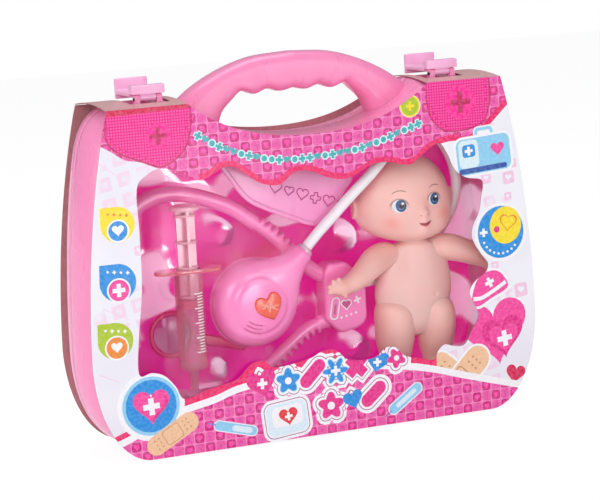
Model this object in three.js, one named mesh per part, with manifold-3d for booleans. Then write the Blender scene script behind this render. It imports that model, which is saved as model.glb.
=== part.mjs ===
// A toy doctor case: two moulded shells hinged along the bottom, a carrying handle split between
// them, two latches, a clear window, a printed card sleeve, and a blister tray with a doll, a
// stethoscope, a syringe, a nurse cap and a hand lens. Millimetres, +Z up, the window faces -Y.
import * as THREE from "three";
import { mergeVertices } from "three/addons/utils/BufferGeometryUtils.js";
import Module from "manifold-3d";

const wasm = await Module();
wasm.setup();

// Case shells
const caseWidth = 305;
const shoulderHeight = 217.6;
const baseHeight = 6.5;
const shellDepth = 31.5;
const wallThickness = 1.8;
const partingGap = 0.3;
const sideRounding = 16;
const topRounding = 7.2;
const frameLip = 7;

// Carrying handle
const handleRise = 23.4;
const handleReachShare = 0.2623;
const handleThickness = 23;
const gripHeight = 23;
const fingerHoleShare = 0.6;
const handleEdgeRadius = 4;

// Hinges and feet under the case
const hingeSpacing = 180;
const hingeAxisHeight = 3;
const hingeBarrelRadius = 2.7;
const hingePinRadius = 1.2;
const knuckleLength = 8;
const knuckleWeb = 5;
const footLength = 50;
const footSpacing = 170;
const footInnerEdge = 15;
const footDepth = 11;

// Latches on the shoulders
const latchInset = 54;
const latchWidth = 21;
const latchAxisSetback = 14;
const latchAxisRise = 3.2;
const latchBarrelRadius = 2;
const latchPinRadius = 0.8;
const latchKnuckleLength = 10;
const latchLugLength = 3.5;
const latchBarHeight = 5.4;
const latchBarDepth = 6;
const latchStrapThickness = 2;
const latchTailReach = 17;
const latchTailThickness = 2.5;
const latchTabHeight = 12.5;
const latchFootClearance = 0.9;
const catchRise = 0.7;
const catchDepth = 2;
const catchSetback = 1.5;

// Card sleeve
const cardThickness = 0.6;
const cardSideInset = 2.5;
const cardTopDrop = 1.4;
const cardBottom = 1;
const cardStandOff = 0.9;
const bridgeRise = 2.4;
const latchCutoutMargin = 2.3;
const latchCutoutFront = 19.5;

// Window pane, backing card and blister tray
const paneThickness = 0.8;
const backingThickness = 0.6;
const traySheet = 0.6;
const trayFlangeDepth = 2;
const trayFlangeWidth = 5;
const trayFloorDepth = 19;
const trayDraft = 3;
const seatRadius = 8.4;
const chestSeatRadius = 13.4;
const syringeSeatRadius = 4.6;

// Clearances between pieces
const fit = 0.3;
const seatGap = 0.3;
const jointClearance = 0.5;
const overrun = 2;

// Doll
const dollX = 75;
const dollY = -4;
const torsoHeight = 60;
const torsoBase = 52;
const torsoRadius = 25;
const torsoFlattening = 0.46;
const neckRadius = 8;
const neckLength = 5;
const headWidth = 66;
const headDepth = 41;
const headHeight = 57;
const headCentreHeight = 141.5;
const headOffset = 4;
const earRadius = 5;
const earHalfHeight = 7;
const noseRadius = 2.6;
const hipHeight = 69;
const hipSpacing = 28.6;
const thighRadius = 13.4;
const ankleRadius = 9.6;
const legLength = 47;
const shoulderJointHeight = 105;
const shoulderSpacing = 40;
const shoulderRadius = 8.4;
const armReachLeft = 33;
const armReachRight = 29;
const armDropLeft = 15;
const armDropRight = 10;
const armForwardLeft = 16;
const armForwardRight = 9;
const wristRadius = 5.6;

// Syringe
const syringeX = -80;
const syringeY = -15;
const barrelRadius = 9;
const barrelWall = 1.1;
const barrelBase = 50;
const barrelLength = 62;
const nozzleLength = 14;
const nozzleRadius = 2.6;
const nozzleBore = 0.9;
const flangeReach = 21;
const flangeDepth = 8;
const flangeThickness = 2.5;
const plungerTravel = 36;
const plungerRodRadius = 6;
const plungerRibThickness = 1.8;
const thumbPlateRadius = 9.5;
const thumbPlateThickness = 3;
const pistonLength = 7;
const pistonGrip = 3;

// Stethoscope
const chestX = -36.5;
const chestZ = 86.2;
const chestRadius = 27.8;
const chestFront = -25.5;
const chestSplit = -8;
const chestBack = -5;
const chestWall = 1.6;
const chestNeckReach = 43;
const chestNeckRadius = 5.2;
const chestNeckRootRadius = 9;
const chestNeckTurn = 0.844;
const chestNeckDepth = -16.5;
const coverRadius = 25.8;
const coverEdgeRadius = 23.2;
const buttonX = -31.6;
const buttonZ = 84.9;
const buttonWidth = 17;
const buttonRetainerSetback = 3.7;
const buttonProud = 1.5;
const buttonRetainer = 1.2;
const springRadius = 4;
const springWire = 1;
const tubeRadius = 3.5;
const tubePlug = 7;
const yokeX = 28.5;
const yokeZ = 80.7;
const yokeWidth = 29;
const yokeHeight = 46;
const yokeFront = -6;
const yokeDepth = 18;
const yokeCoverThickness = 2;
const earArmWidth = 9.4;
const earArmThickness = 7.6;
const earArmBack = 4.5;
const toothDepth = 2.6;
const earTipRadius = 5.5;
const earTipHalfDepth = 4.4;

// Nurse cap
const capWidth = 88;
const capHeight = 48;
const capLeft = -53;
const capBottom = 131;
const capFront = -12;
const capThickness = 2.2;

// Hand lens
const lensX = -88;
const lensZ = 70;
const lensRingRadius = 15;
const lensRingWidth = 3;
const lensRingFront = -1;
const lensRingDepth = 4;
const lensThickness = 1.6;
const lensHandleLength = 34;
const lensHandleWidth = 7;
const lensHandleDrop = 9;

// Smoothness of the curved pieces
const curveSteps = 5;
const roundSides = 18;
const smallSides = 12;
const mergeTolerance = 1e-4;

// Right half of the case outline from the bottom centre to the top centre, as shares of the half
// width and of the height between base and shoulders: each curve's two pulls and its end.
const caseCornerStartShare = 0.774;
const caseCrestShare = 0.521;
const caseCurveShares = {
  lowerCorner: [0.918, 0, 1, 0.121, 1, 0.277],
  side: [1, 0.49, 0.97, 0.727, 0.928, 0.869],
  shoulder: [0.911, 0.926, 0.859, 1, 0.734, 1],
  dip: [0.393, 0.917, 0.236, 0.874, 0, 0.874],
};

// How far in the shell lies, as a share of its rounding, at each share of its depth.
const shellProfileShares = [
  [0, 0],
  [0.3, 0.05],
  [0.6, 0.22],
  [0.83, 0.5],
  [0.96, 0.8],
  [1, 1],
];

// Right half of the card outline, as shares of its half width and of its height.
const cardCornerStartShare = 0.78;
const cardCrestShares = [0.873, 0.53];
const cardCurveShares = {
  lowerCorner: [0.9, 0.009, 0.993, 0.125, 1, 0.283],
  side: [0.997, 0.506, 0.96, 0.762, 0.873, 1],
  dip: [0.4, 0.925, 0.24, 0.883, 0, 0.883],
};

// The window cut in the front card, as shares of the card's half width and of its top height.
const windowShares = [
  [-0.667, 0.828], [-0.6, 0.819], [-0.5, 0.786], [-0.447, 0.796], [-0.393, 0.814], [-0.34, 0.809],
  [-0.28, 0.777], [-0.22, 0.754], [-0.153, 0.749], [-0.093, 0.777], [-0.04, 0.782], [0.007, 0.772],
  [0.067, 0.754], [0.133, 0.745], [0.187, 0.754], [0.253, 0.777], [0.327, 0.782], [0.387, 0.772],
  [0.44, 0.768], [0.493, 0.791], [0.54, 0.814], [0.58, 0.819], [0.613, 0.782], [0.64, 0.74],
  [0.693, 0.712], [0.767, 0.698], [0.76, 0.648], [0.747, 0.606], [0.713, 0.56], [0.713, 0.523],
  [0.747, 0.481], [0.78, 0.449], [0.767, 0.421], [0.72, 0.402], [0.687, 0.37], [0.707, 0.333],
  [0.727, 0.296], [0.693, 0.254], [0.653, 0.213], [0.6, 0.213], [0.56, 0.222], [0.527, 0.204],
  [0.507, 0.18], [0.44, 0.19], [0.373, 0.204], [0.333, 0.231], [0.287, 0.236], [0.24, 0.213],
  [0.187, 0.208], [0.107, 0.217], [0.053, 0.25], [-0.007, 0.25], [-0.053, 0.236], [-0.12, 0.227],
  [-0.22, 0.222], [-0.267, 0.245], [-0.32, 0.241], [-0.367, 0.213], [-0.4, 0.199], [-0.507, 0.185],
  [-0.62, 0.167], [-0.653, 0.204], [-0.7, 0.241], [-0.753, 0.254], [-0.807, 0.254], [-0.8, 0.352],
  [-0.773, 0.49], [-0.767, 0.648], [-0.767, 0.777], [-0.72, 0.814],
];

// Handle outline over its reach and above the shoulders: outer curve, then the finger hole.
const handleOuterShares = [
  [1, -0.62], [0.985, -0.25], [0.9, 0.03], [0.78, 0.31], [0.62, 0.59], [0.45, 0.81], [0.28, 0.94],
  [0, 1],
];
const fingerHoleShares = [
  [0, 0], [0.18, -0.07], [0.36, 0.02], [0.54, -0.09], [0.72, 0.02], [0.86, -0.2], [0.98, -0.44],
  [1.03, -0.66], [1.1, -1.15],
];

// Rounding of the handle's edge: shares of its radius outwards and inwards.
const handleEdgeShares = [[0, 0], [0.01, 0.02], [0.62, 0.28], [1, 0.9]];

// Radius of the torso at each share of its height, as shares of its widest radius.
const torsoShares = [
  [0, 0.34], [0.09, 0.72], [0.25, 0.97], [0.42, 1], [0.58, 0.93], [0.74, 0.89], [0.88, 0.84],
  [0.96, 0.66], [1, 0.36],
];

// Outline of the torso's wedge between the thighs, over the hip spacing and the torso's height.
const crotchShares = [[-0.17, 0.44], [-0.03, 0], [0.03, 0], [0.17, 0.44]];

// Leg and arm radii from joint to tip, as shares between the joint's and the end's radius.
const legRadiusShares = [0.3, 0.8, 0.98, 0.98, 0.93, 0.82, 0.72, 0.68, 0.72, 0.42];
const armRadiusShares = [0.35, 0.7, 0.83, 0.88, 0.9, 0.86, 0.8, 0.7, 0.78, 0.74, 0.3];

// Heart outline as shares of the button's width: two curves for the right half.
const heartShares = {
  point: [0, -0.52],
  flank: [0.3, -0.3, 0.5, -0.06, 0.5, 0.16],
  lobe: [0.5, 0.5, 0.1, 0.52, 0, 0.24],
};
const heartTurn = 0.3;

// Dome of the chest piece from its middle to its back edge: shares of its radius and of its depth.
const chestProfileShares = [
  [0, 0], [0.5, 0.02], [0.74, 0.1], [0.9, 0.26], [0.98, 0.5], [1, 0.72], [0.95, 1], [0, 1],
];

// Yoke outline as shares of its width and height, and the paths of the two ear arms as shares of
// the chest piece's spacing from the yoke and of the yoke's height.
const yokeShares = [
  [-0.5, -0.28], [-0.16, -0.5], [0.34, -0.44], [0.5, -0.34], [0.5, 0.24], [0.06, 0.5], [-0.4, 0.5],
  [-0.5, 0.36],
];
const upperArmShares = [
  [-0.16, 0.3], [-0.3, 0.42], [-0.44, 0.58], [-0.575, 0.763], [-0.72, 0.976], [-0.87, 1.157],
  [-1.12, 1.417], [-1.37, 1.574], [-1.62, 1.672], [-1.82, 1.68], [-1.97, 1.626], [-2.09, 1.53],
  [-2.21, 1.36], [-2.27, 1.12], [-2.28, 0.9], [-2.27, 0.7], [-2.26, 0.52],
];
const lowerArmShares = [
  [-0.06, -0.26], [-0.18, -0.31], [-0.29, -0.343], [-0.41, -0.411], [-0.55, -0.546], [-0.69, -0.7],
  [-0.82, -0.85], [-1.0, -1.0], [-1.25, -1.115], [-1.5, -1.145], [-1.72, -1.125],
];
const upperTeethShares = [0.12, 0.3];
const lowerTeethShares = [0.12, 0.72];

// Cap outline as shares of its width and height, from its lower left corner.
const capShares = [
  [0.64, 0], [0.72, 0.02], [0.86, 0.24], [0.94, 0.42], [1, 0.58], [0.97, 0.74], [0.8, 0.88],
  [0.5, 0.98], [0.2, 1], [0, 0.92], [0.07, 0.66], [0.17, 0.42], [0.29, 0.28], [0.46, 0.14],
];

// Free domes of the tray: place over the case's half width and height, radius and height as shares
// of the doll's shoulder spacing and of the tray's depth from its floor to the pane.
const domeShares = [
  [0.184, 0.552, 0.25, 0.56],
  [-0.345, 0.6, 0.21, 0.52],
  [0.237, 0.214, 0.19, 0.56],
  [-0.4, 0.205, 0.2, 0.5],
];
const frustumTaperShare = 0.78;
const syringeSeatShare = 0.76;

// The stethoscope's tube from the chest piece, over and round the doll's head, behind its back and
// into the yoke.
const tubeRoute = [
  [-8.1, -16.5, 111.4], [-4, -16.5, 115.1], [1, -16.7, 120.6], [6.5, -17, 126.2], [12.2, -17.5, 131.6],
  [18.7, -18.2, 137.8], [25.8, -19, 144.7], [32.7, -19.7, 151], [39.8, -20, 157.2], [47, -19.4, 163.4],
  [55, -17.4, 170.6], [63, -14.4, 177.6], [72, -11, 182.6], [82, -7.8, 184.2], [91.5, -5, 182],
  [100, -3, 176.6], [107, -1.4, 167], [111.4, 0, 156], [113, 1.4, 143], [110, 5, 128],
  [102, 10, 113], [90, 13, 101], [77, 13.8, 93.5], [72.5, 13.5, 91.8], [68, 12.4, 90.5],
  [63.7, 10.7, 89.5], [59.5, 8.3, 88.8], [55.3, 5.8, 88.3], [51, 3.8, 88.1], [46.5, 2.5, 88],
  [42, 2, 88], [37, 2, 88],
];
const tubeSteps = 30;
const tubeCurveSteps = 5;

const halfWidth = caseWidth / 2;
const handleTop = shoulderHeight + handleRise;
const handleReach = handleReachShare * caseWidth;
const fingerHoleReach = fingerHoleShare * handleReach;
const latchX = halfWidth - latchInset;
const cardHalfWidth = halfWidth - cardSideInset;
const cardTop = shoulderHeight - cardTopDrop;
const cardHalfDepth = shellDepth + cardStandOff + cardThickness;
const caseHeight = shoulderHeight - baseHeight;
const halfGap = partingGap / 2;

// Triangles over a flat ring with bays, each in the order of the ring's points.
function ringFaces(ring) {
  const flat = ring.map((point) => new THREE.Vector2(point.x, point.z));
  const found = THREE.ShapeUtils.triangulateShape(flat, []);
  let area = 0;
  for (const [i, j, k] of found) {
    area += flat[j].clone().sub(flat[i]).cross(flat[k].clone().sub(flat[i]));
  }
  const sameWay = area > 0 !== THREE.ShapeUtils.isClockWise(flat);
  return sameWay ? found : found.map(([i, j, k]) => [i, k, j]);
}

// Skins a row of rings with equal point counts. The ends are closed with fans, or, where the rings
// lie in XZ planes and have bays, with the triangles of the first ring.
function loft(rings, bays = false) {
  const count = rings[0].length;
  const positions = [];
  const indices = [];
  for (const ring of rings) for (const point of ring) positions.push(point.x, point.y, point.z);
  for (let row = 0; row + 1 < rings.length; row += 1) {
    for (let i = 0; i < count; i += 1) {
      const near = row * count + i;
      const next = row * count + ((i + 1) % count);
      indices.push(near, next, near + count, next, next + count, near + count);
    }
  }
  const flatFaces = bays ? ringFaces(rings[0]) : [];
  for (const row of [0, rings.length - 1]) {
    const first = row * count;
    const middle = positions.length / 3;
    let faces = flatFaces.map((face) => face.map((corner) => corner + first));
    if (!bays) {
      const centre = new THREE.Vector3();
      for (const point of rings[row]) centre.addScaledVector(point, 1 / count);
      positions.push(centre.x, centre.y, centre.z);
      faces = rings[row].map((_, i) => [middle, first + i, first + ((i + 1) % count)]);
    }
    for (const [i, j, k] of faces) {
      if (row === 0) indices.push(i, k, j);
      else indices.push(i, j, k);
    }
  }
  const geometry = new THREE.BufferGeometry();
  geometry.setAttribute("position", new THREE.Float32BufferAttribute(positions, 3));
  return geometry.setIndex(indices);
}

// Six times the volume inside a closed set of triangles, below zero if they face inwards.
function enclosedVolume(places, corners) {
  const [a, b, c] = [new THREE.Vector3(), new THREE.Vector3(), new THREE.Vector3()];
  let volume = 0;
  for (let i = 0; i < corners.length; i += 3) {
    a.fromArray(places, 3 * corners[i]);
    b.fromArray(places, 3 * corners[i + 1]);
    c.fromArray(places, 3 * corners[i + 2]);
    volume += a.dot(b.cross(c));
  }
  return volume;
}

// Turns a closed geometry into a solid that can be joined and cut.
function solid(geometry) {
  const bare = geometry.clone();
  bare.deleteAttribute("normal");
  bare.deleteAttribute("uv");
  const merged = mergeVertices(bare, mergeTolerance);
  const corners = merged.index.array;
  const kept = [];
  for (let i = 0; i < corners.length; i += 3) {
    const [a, b, c] = [corners[i], corners[i + 1], corners[i + 2]];
    if (a !== b && b !== c && c !== a) kept.push(a, b, c);
  }
  const vertProperties = new Float32Array(merged.attributes.position.array);
  if (enclosedVolume(vertProperties, kept) < 0) kept.reverse();
  const made = new wasm.Mesh({ numProp: 3, vertProperties, triVerts: new Uint32Array(kept) });
  return new wasm.Manifold(made);
}

// Joins several solids into one.
function join(...solids) {
  return solids.reduce((whole, piece) => whole.add(piece));
}

// Cuts several solids out of the first one.
function cut(whole, ...tools) {
  return tools.reduce((left, tool) => left.subtract(tool), whole);
}

function box(width, depth, height, x, y, z) {
  return solid(new THREE.BoxGeometry(width, depth, height).translate(x, y, z));
}

// A box given by its lower and upper corners.
function span([x0, x1], [y0, y1], [z0, z1]) {
  return box(x1 - x0, y1 - y0, z1 - z0, (x0 + x1) / 2, (y0 + y1) / 2, (z0 + z1) / 2);
}

function rodAlongX(radius, length, x, y, z, sides = roundSides) {
  const rod = new THREE.CylinderGeometry(radius, radius, length, sides);
  return solid(rod.rotateZ(Math.PI / 2).translate(x, y, z));
}

// A round frustum whose axis lies along Y, from its wide end to its narrow end.
function frustumAlongY(wide, narrow, fromY, toY, x, z, sides = roundSides) {
  const towardsRear = toY > fromY;
  const [top, bottom] = towardsRear ? [narrow, wide] : [wide, narrow];
  const frustum = new THREE.CylinderGeometry(top, bottom, Math.abs(toY - fromY), sides);
  return solid(frustum.translate(x, (fromY + toY) / 2, z));
}

function rodAlongZ(radius, length, x, y, baseZ, sides = roundSides) {
  const rod = new THREE.CylinderGeometry(radius, radius, length, sides).rotateX(Math.PI / 2);
  return solid(rod.translate(x, y, baseZ + length / 2));
}

function ball(radiusX, radiusY, radiusZ, x, y, z, sides = smallSides) {
  const sphere = new THREE.SphereGeometry(1, sides, Math.round(sides / 2) + 1);
  return solid(sphere.rotateX(Math.PI / 2).scale(radiusX, radiusY, radiusZ).translate(x, y, z));
}

// A flat outline in the XZ plane, pushed along Y from fromY to toY.
function slab(shape, fromY, toY) {
  const plate = new THREE.ExtrudeGeometry(shape, {
    depth: toY - fromY,
    bevelEnabled: false,
    curveSegments: curveSteps,
  });
  return solid(plate.rotateX(Math.PI / 2).translate(0, toY, 0));
}

function shapeOf(points) {
  return new THREE.Shape(points.map(([x, z]) => new THREE.Vector2(x, z)));
}

// Mirrors the right half of an outline into a closed, counter-clockwise list of points.
function symmetric(path) {
  const right = path.getPoints(curveSteps);
  const left = right.slice(1, -1).reverse();
  return [...right, ...left.map((point) => new THREE.Vector2(-point.x, point.y))];
}

function addCurve(path, shares, width, base, height) {
  const places = [];
  for (let i = 0; i < shares.length; i += 2) {
    places.push(shares[i] * width, base + shares[i + 1] * height);
  }
  path.bezierCurveTo(...places);
}

function caseOutline() {
  const right = new THREE.Path();
  right.moveTo(0, baseHeight);
  right.lineTo(caseCornerStartShare * halfWidth, baseHeight);
  addCurve(right, caseCurveShares.lowerCorner, halfWidth, baseHeight, caseHeight);
  addCurve(right, caseCurveShares.side, halfWidth, baseHeight, caseHeight);
  addCurve(right, caseCurveShares.shoulder, halfWidth, baseHeight, caseHeight);
  right.lineTo(caseCrestShare * halfWidth, shoulderHeight);
  addCurve(right, caseCurveShares.dip, halfWidth, baseHeight, caseHeight);
  return symmetric(right);
}

function cardOutline() {
  const cardHeight = cardTop - cardBottom;
  const right = new THREE.Path();
  right.moveTo(0, cardBottom);
  right.lineTo(cardCornerStartShare * cardHalfWidth, cardBottom);
  addCurve(right, cardCurveShares.lowerCorner, cardHalfWidth, cardBottom, cardHeight);
  addCurve(right, cardCurveShares.side, cardHalfWidth, cardBottom, cardHeight);
  right.lineTo(cardCrestShares[1] * cardHalfWidth, cardTop);
  addCurve(right, cardCurveShares.dip, cardHalfWidth, cardBottom, cardHeight);
  return symmetric(right);
}

// Moves each point of a counter-clockwise outline inwards, by one amount sideways and by another
// up or down.
function insetOutline(points, sideInset, riseInset) {
  const count = points.length;
  return points.map((point, i) => {
    const before = points[(i + count - 1) % count];
    const after = points[(i + 1) % count];
    const along = after.clone().sub(before).normalize();
    return new THREE.Vector2(point.x - sideInset * along.y, point.y + riseInset * along.x);
  });
}

const caseRim = caseOutline();

function ringAt(y, sideInset, riseInset) {
  const points = insetOutline(caseRim, sideInset, riseInset);
  return points.map((point) => new THREE.Vector3(point.x, y, point.y));
}

// A plate that follows the case outline between two depths.
function casePlate(fromY, toY, sideInset, riseInset) {
  return solid(loft([ringAt(fromY, sideInset, riseInset), ringAt(toY, sideInset, riseInset)]));
}

// The rounded body of one shell, or its hollow when a wall is given; side is 1 for the rear.
function shellBody(side, wall) {
  const depth = shellDepth - wall;
  const start = wall > 0 ? -overrun : halfGap;
  const rings = shellProfileShares.map(([depthShare, insetShare], row) => {
    const y = row === 0 ? start : depthShare * depth;
    return ringAt(side * y, insetShare * sideRounding + wall, insetShare * topRounding + wall);
  });
  return solid(loft(rings));
}

// Half of the handle, on the given side of the parting plane.
function handleHalf(side) {
  const holeTop = handleTop - gripHeight;
  const outer = handleOuterShares.map(([x, z]) => [x * handleReach, shoulderHeight + z * handleRise]);
  const hole = fingerHoleShares.map(([x, z]) => [x * fingerHoleReach, holeTop + z * handleRise]);
  const rightSide = new THREE.SplineCurve(outer.map(([x, z]) => new THREE.Vector2(x, z)));
  const rightHole = new THREE.SplineCurve(hole.map(([x, z]) => new THREE.Vector2(x, z)));
  const arc = rightSide.getPoints(2 * curveSteps);
  const inner = rightHole.getPoints(3 * curveSteps);
  const flip = (points) => points.map((point) => new THREE.Vector2(-point.x, point.y));
  const outline = [
    ...arc,
    ...flip(arc.slice(0, -1)).reverse(),
    ...flip(inner.slice(1)).reverse(),
    ...inner,
  ];
  const half = handleThickness / 2;
  const rings = handleEdgeShares.map(([across, inset]) => {
    const y = across > 0 ? half - handleEdgeRadius * (1 - across) : halfGap;
    const points = insetOutline(outline, inset * handleEdgeRadius, inset * handleEdgeRadius);
    return points.map((point) => new THREE.Vector3(point.x, side * y, point.y));
  });
  return solid(loft(rings, true));
}

// Feet under one shell, with the stretch nearest the hinge left clear.
function feet(side) {
  const near = footInnerEdge;
  const far = footInnerEdge + footDepth;
  const depth = side > 0 ? [near, far] : [-far, -near];
  return [-1, 1].map((hand) => {
    const x = (hand * footSpacing) / 2;
    const length = [x - footLength / 2, x + footLength / 2];
    return span(length, depth, [0, baseHeight + topRounding]);
  });
}

// Hinge knuckles of one shell: two a hinge on the rear, one between them on the lid.
function knuckles(side) {
  const offsets = side > 0 ? [-knuckleLength, knuckleLength] : [0];
  const length = side > 0 ? knuckleLength : knuckleLength - 2 * fit;
  const solids = [];
  for (const hand of [-1, 1]) {
    for (const offset of offsets) {
      const x = (hand * hingeSpacing) / 2 + offset;
      const web = side > 0 ? [fit, knuckleWeb] : [-knuckleWeb, -fit];
      const width = [x - length / 2, x + length / 2];
      solids.push(rodAlongX(hingeBarrelRadius, length, x, 0, hingeAxisHeight, smallSides));
      solids.push(span(width, web, [hingeAxisHeight, baseHeight + wallThickness]));
    }
  }
  return solids;
}

function hingeBores() {
  const reach = 3 * knuckleLength + 2 * overrun;
  return [-1, 1].map((hand) => {
    const x = (hand * hingeSpacing) / 2;
    return rodAlongX(hingePinRadius + fit, reach, x, 0, hingeAxisHeight, smallSides);
  });
}

// Height of the shoulder at a distance from the parting plane.
function shoulderAt(depth) {
  const share = depth / shellDepth;
  const upper = shellProfileShares.findIndex(([depthShare]) => depthShare >= share);
  const [d1, inset1] = shellProfileShares[upper];
  const [d0, inset0] = shellProfileShares[Math.max(upper - 1, 0)];
  const blend = d1 > d0 ? (share - d0) / (d1 - d0) : 0;
  return shoulderHeight - topRounding * (inset0 + blend * (inset1 - inset0));
}

const latchAxisY = -latchAxisSetback;
const latchAxisZ = shoulderHeight + latchAxisRise;

// Two lugs that carry one latch pin on the lid's shoulder.
function latchLugs(hand) {
  const solids = [];
  for (const end of [-1, 1]) {
    const gap = latchKnuckleLength / 2 + fit;
    const x = hand * latchX + end * (gap + latchLugLength / 2);
    const width = [x - latchLugLength / 2, x + latchLugLength / 2];
    const depth = [latchAxisY - latchBarrelRadius, latchAxisY + latchBarrelRadius];
    const root = shoulderAt(latchAxisSetback) - wallThickness;
    solids.push(rodAlongX(latchBarrelRadius, latchLugLength, x, latchAxisY, latchAxisZ, smallSides));
    solids.push(span(width, depth, [root, latchAxisZ]));
  }
  return solids;
}

function latchBore(hand, reach) {
  const x = hand * latchX;
  return rodAlongX(latchPinRadius + fit, reach, x, latchAxisY, latchAxisZ, smallSides);
}

// The low catch in front of each latch's foot on the rear shoulder.
function latchCatch(hand) {
  const back = latchTailReach - catchSetback;
  const x = hand * latchX;
  const width = [x - latchWidth / 2, x + latchWidth / 2];
  const root = shoulderAt(back) - wallThickness;
  return span(width, [back - catchDepth, back], [root, shoulderAt(back) + catchRise]);
}

function rearShell() {
  const body = join(shellBody(1, 0), handleHalf(1), ...feet(1));
  const hollowed = cut(body, shellBody(1, wallThickness));
  const fitted = join(hollowed, ...knuckles(1), latchCatch(-1), latchCatch(1));
  return cut(fitted, ...hingeBores());
}

function frontShell() {
  const body = join(shellBody(-1, 0), handleHalf(-1), ...feet(-1));
  const side = sideRounding + frameLip;
  const rise = topRounding + frameLip;
  const opening = casePlate(-shellDepth - overrun, -shellDepth + 3 * overrun, side, rise);
  const hollowed = cut(body, shellBody(-1, wallThickness), opening);
  const fitted = join(hollowed, ...knuckles(-1), ...latchLugs(-1), ...latchLugs(1));
  const bores = [-1, 1].map((hand) => latchBore(hand, latchWidth + overrun));
  return cut(fitted, ...hingeBores(), ...bores);
}

function windowPane() {
  const back = -(shellDepth - wallThickness - fit);
  const side = sideRounding + 2 * wallThickness + fit;
  const rise = topRounding + 2 * wallThickness;
  return casePlate(back, back + paneThickness, side, rise);
}

function backingCard() {
  const back = shellDepth - wallThickness - seatGap;
  const side = sideRounding + 2 * wallThickness;
  const rise = topRounding + 2 * wallThickness;
  return casePlate(back - backingThickness, back, side, rise);
}

function hingePin(hand) {
  const length = 3 * knuckleLength + fit;
  return rodAlongX(hingePinRadius, length, (hand * hingeSpacing) / 2, 0, hingeAxisHeight, smallSides);
}

function latchPin(hand) {
  const length = latchKnuckleLength + 2 * latchLugLength;
  return rodAlongX(latchPinRadius, length, hand * latchX, latchAxisY, latchAxisZ, smallSides);
}

// One latch: knuckle, front bar, strap over the parting line, and the tail with its finger tab.
function latch(hand) {
  const x = hand * latchX;
  const wide = [x - latchWidth / 2, x + latchWidth / 2];
  const narrow = [x - latchKnuckleLength / 2, x + latchKnuckleLength / 2];
  const barBase = latchAxisZ + latchBarrelRadius + fit;
  const barFront = latchAxisY - latchBarrelRadius - fit;
  const barBack = barFront + latchBarDepth;
  const strapBase = barBase - latchStrapThickness;
  const footBase = shoulderAt(0) + latchFootClearance;
  const tailBack = latchTailReach + latchTailThickness;
  const knuckle = rodAlongX(
    latchBarrelRadius, latchKnuckleLength, x, latchAxisY, latchAxisZ, smallSides,
  );
  const neckDepth = [latchAxisY - latchBarrelRadius / 2, latchAxisY + latchBarrelRadius];
  const whole = join(
    knuckle,
    span(narrow, neckDepth, [latchAxisZ, barBase + fit]),
    span(wide, [barFront, barBack], [barBase, barBase + latchBarHeight]),
    span(wide, [barBack - fit, tailBack], [strapBase + fit, barBase + fit]),
    span(wide, [latchTailReach, tailBack], [footBase, footBase + latchTabHeight]),
  );
  return cut(whole, latchBore(hand, latchWidth));
}

function windowShape() {
  const places = windowShares.map(([x, z]) => new THREE.Vector3(x * cardHalfWidth, z * cardTop, 0));
  const loop = new THREE.CatmullRomCurve3(places, true);
  const points = loop.getPoints(2 * windowShares.length);
  return new THREE.Path(points.slice(0, -1).map((point) => new THREE.Vector2(point.x, point.y)));
}

// The arched strip of card over one shoulder, from the front crease to the rear one.
function bridge(hand) {
  const crest = [];
  const steps = 2 * curveSteps;
  for (let i = 0; i <= steps; i += 1) {
    const y = cardHalfDepth * ((2 * i) / steps - 1);
    crest.push([y, cardTop + bridgeRise * (1 - (y / cardHalfDepth) ** 2)]);
  }
  const under = crest.map(([y, z]) => [y, z - cardThickness]).reverse();
  const [outerShare, innerShare] = cardCrestShares;
  const inner = innerShare * cardHalfWidth;
  const outer = outerShare * cardHalfWidth;
  const strip = new THREE.ExtrudeGeometry(shapeOf([...crest, ...under]), {
    depth: outer - inner,
    bevelEnabled: false,
  });
  const turned = strip.rotateX(Math.PI / 2).rotateZ(Math.PI / 2);
  turned.translate(hand > 0 ? inner : -outer, 0, 0);
  const cutout = latchWidth / 2 + latchCutoutMargin;
  const x = hand * latchX;
  return cut(
    solid(turned),
    span([x - cutout, x + cutout], [-latchCutoutFront, cardHalfDepth + overrun], [0, 2 * cardTop]),
  );
}

function frontCard() {
  const panel = new THREE.Shape(cardOutline());
  panel.holes.push(windowShape());
  const sheet = slab(panel, -cardHalfDepth, -cardHalfDepth + cardThickness);
  return join(sheet, bridge(-1), bridge(1));
}

// The rear card stops just under the ends of the bridges.
function backCard() {
  const sheet = slab(new THREE.Shape(cardOutline()), cardHalfDepth - cardThickness, cardHalfDepth);
  const crest = cardTop - cardThickness - fit;
  const away = [cardHalfDepth - cardThickness - overrun, cardHalfDepth + overrun];
  return cut(sheet, span([-caseWidth, caseWidth], away, [crest, 2 * cardTop]));
}

// Seats of the tray under the contents: place, radius and the depth that each seat reaches.
function traySeats() {
  const torsoBack = dollY + torsoRadius * torsoFlattening;
  const yokeBack = yokeFront + yokeDepth;
  const lensBack = lensRingFront + lensRingDepth;
  const handle = lensHandlePlace();
  const [widestShare] = torsoShares.find(([, radiusShare]) => radiusShare === 1);
  const barrelSeat = barrelBase + syringeSeatShare * barrelLength;
  return [
    [dollX, torsoBase + widestShare * torsoHeight, seatRadius, torsoBack],
    [yokeX, yokeZ, seatRadius, yokeBack],
    [chestX, chestZ, chestSeatRadius, chestBack],
    [syringeX, barrelSeat, syringeSeatRadius, syringeY + barrelRadius],
    [handle.x, handle.z, lensHandleWidth / 2, lensBack],
    [capLeft + capWidth / 2, capBottom + capHeight / 2, seatRadius, capFront + capThickness],
  ];
}

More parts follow.
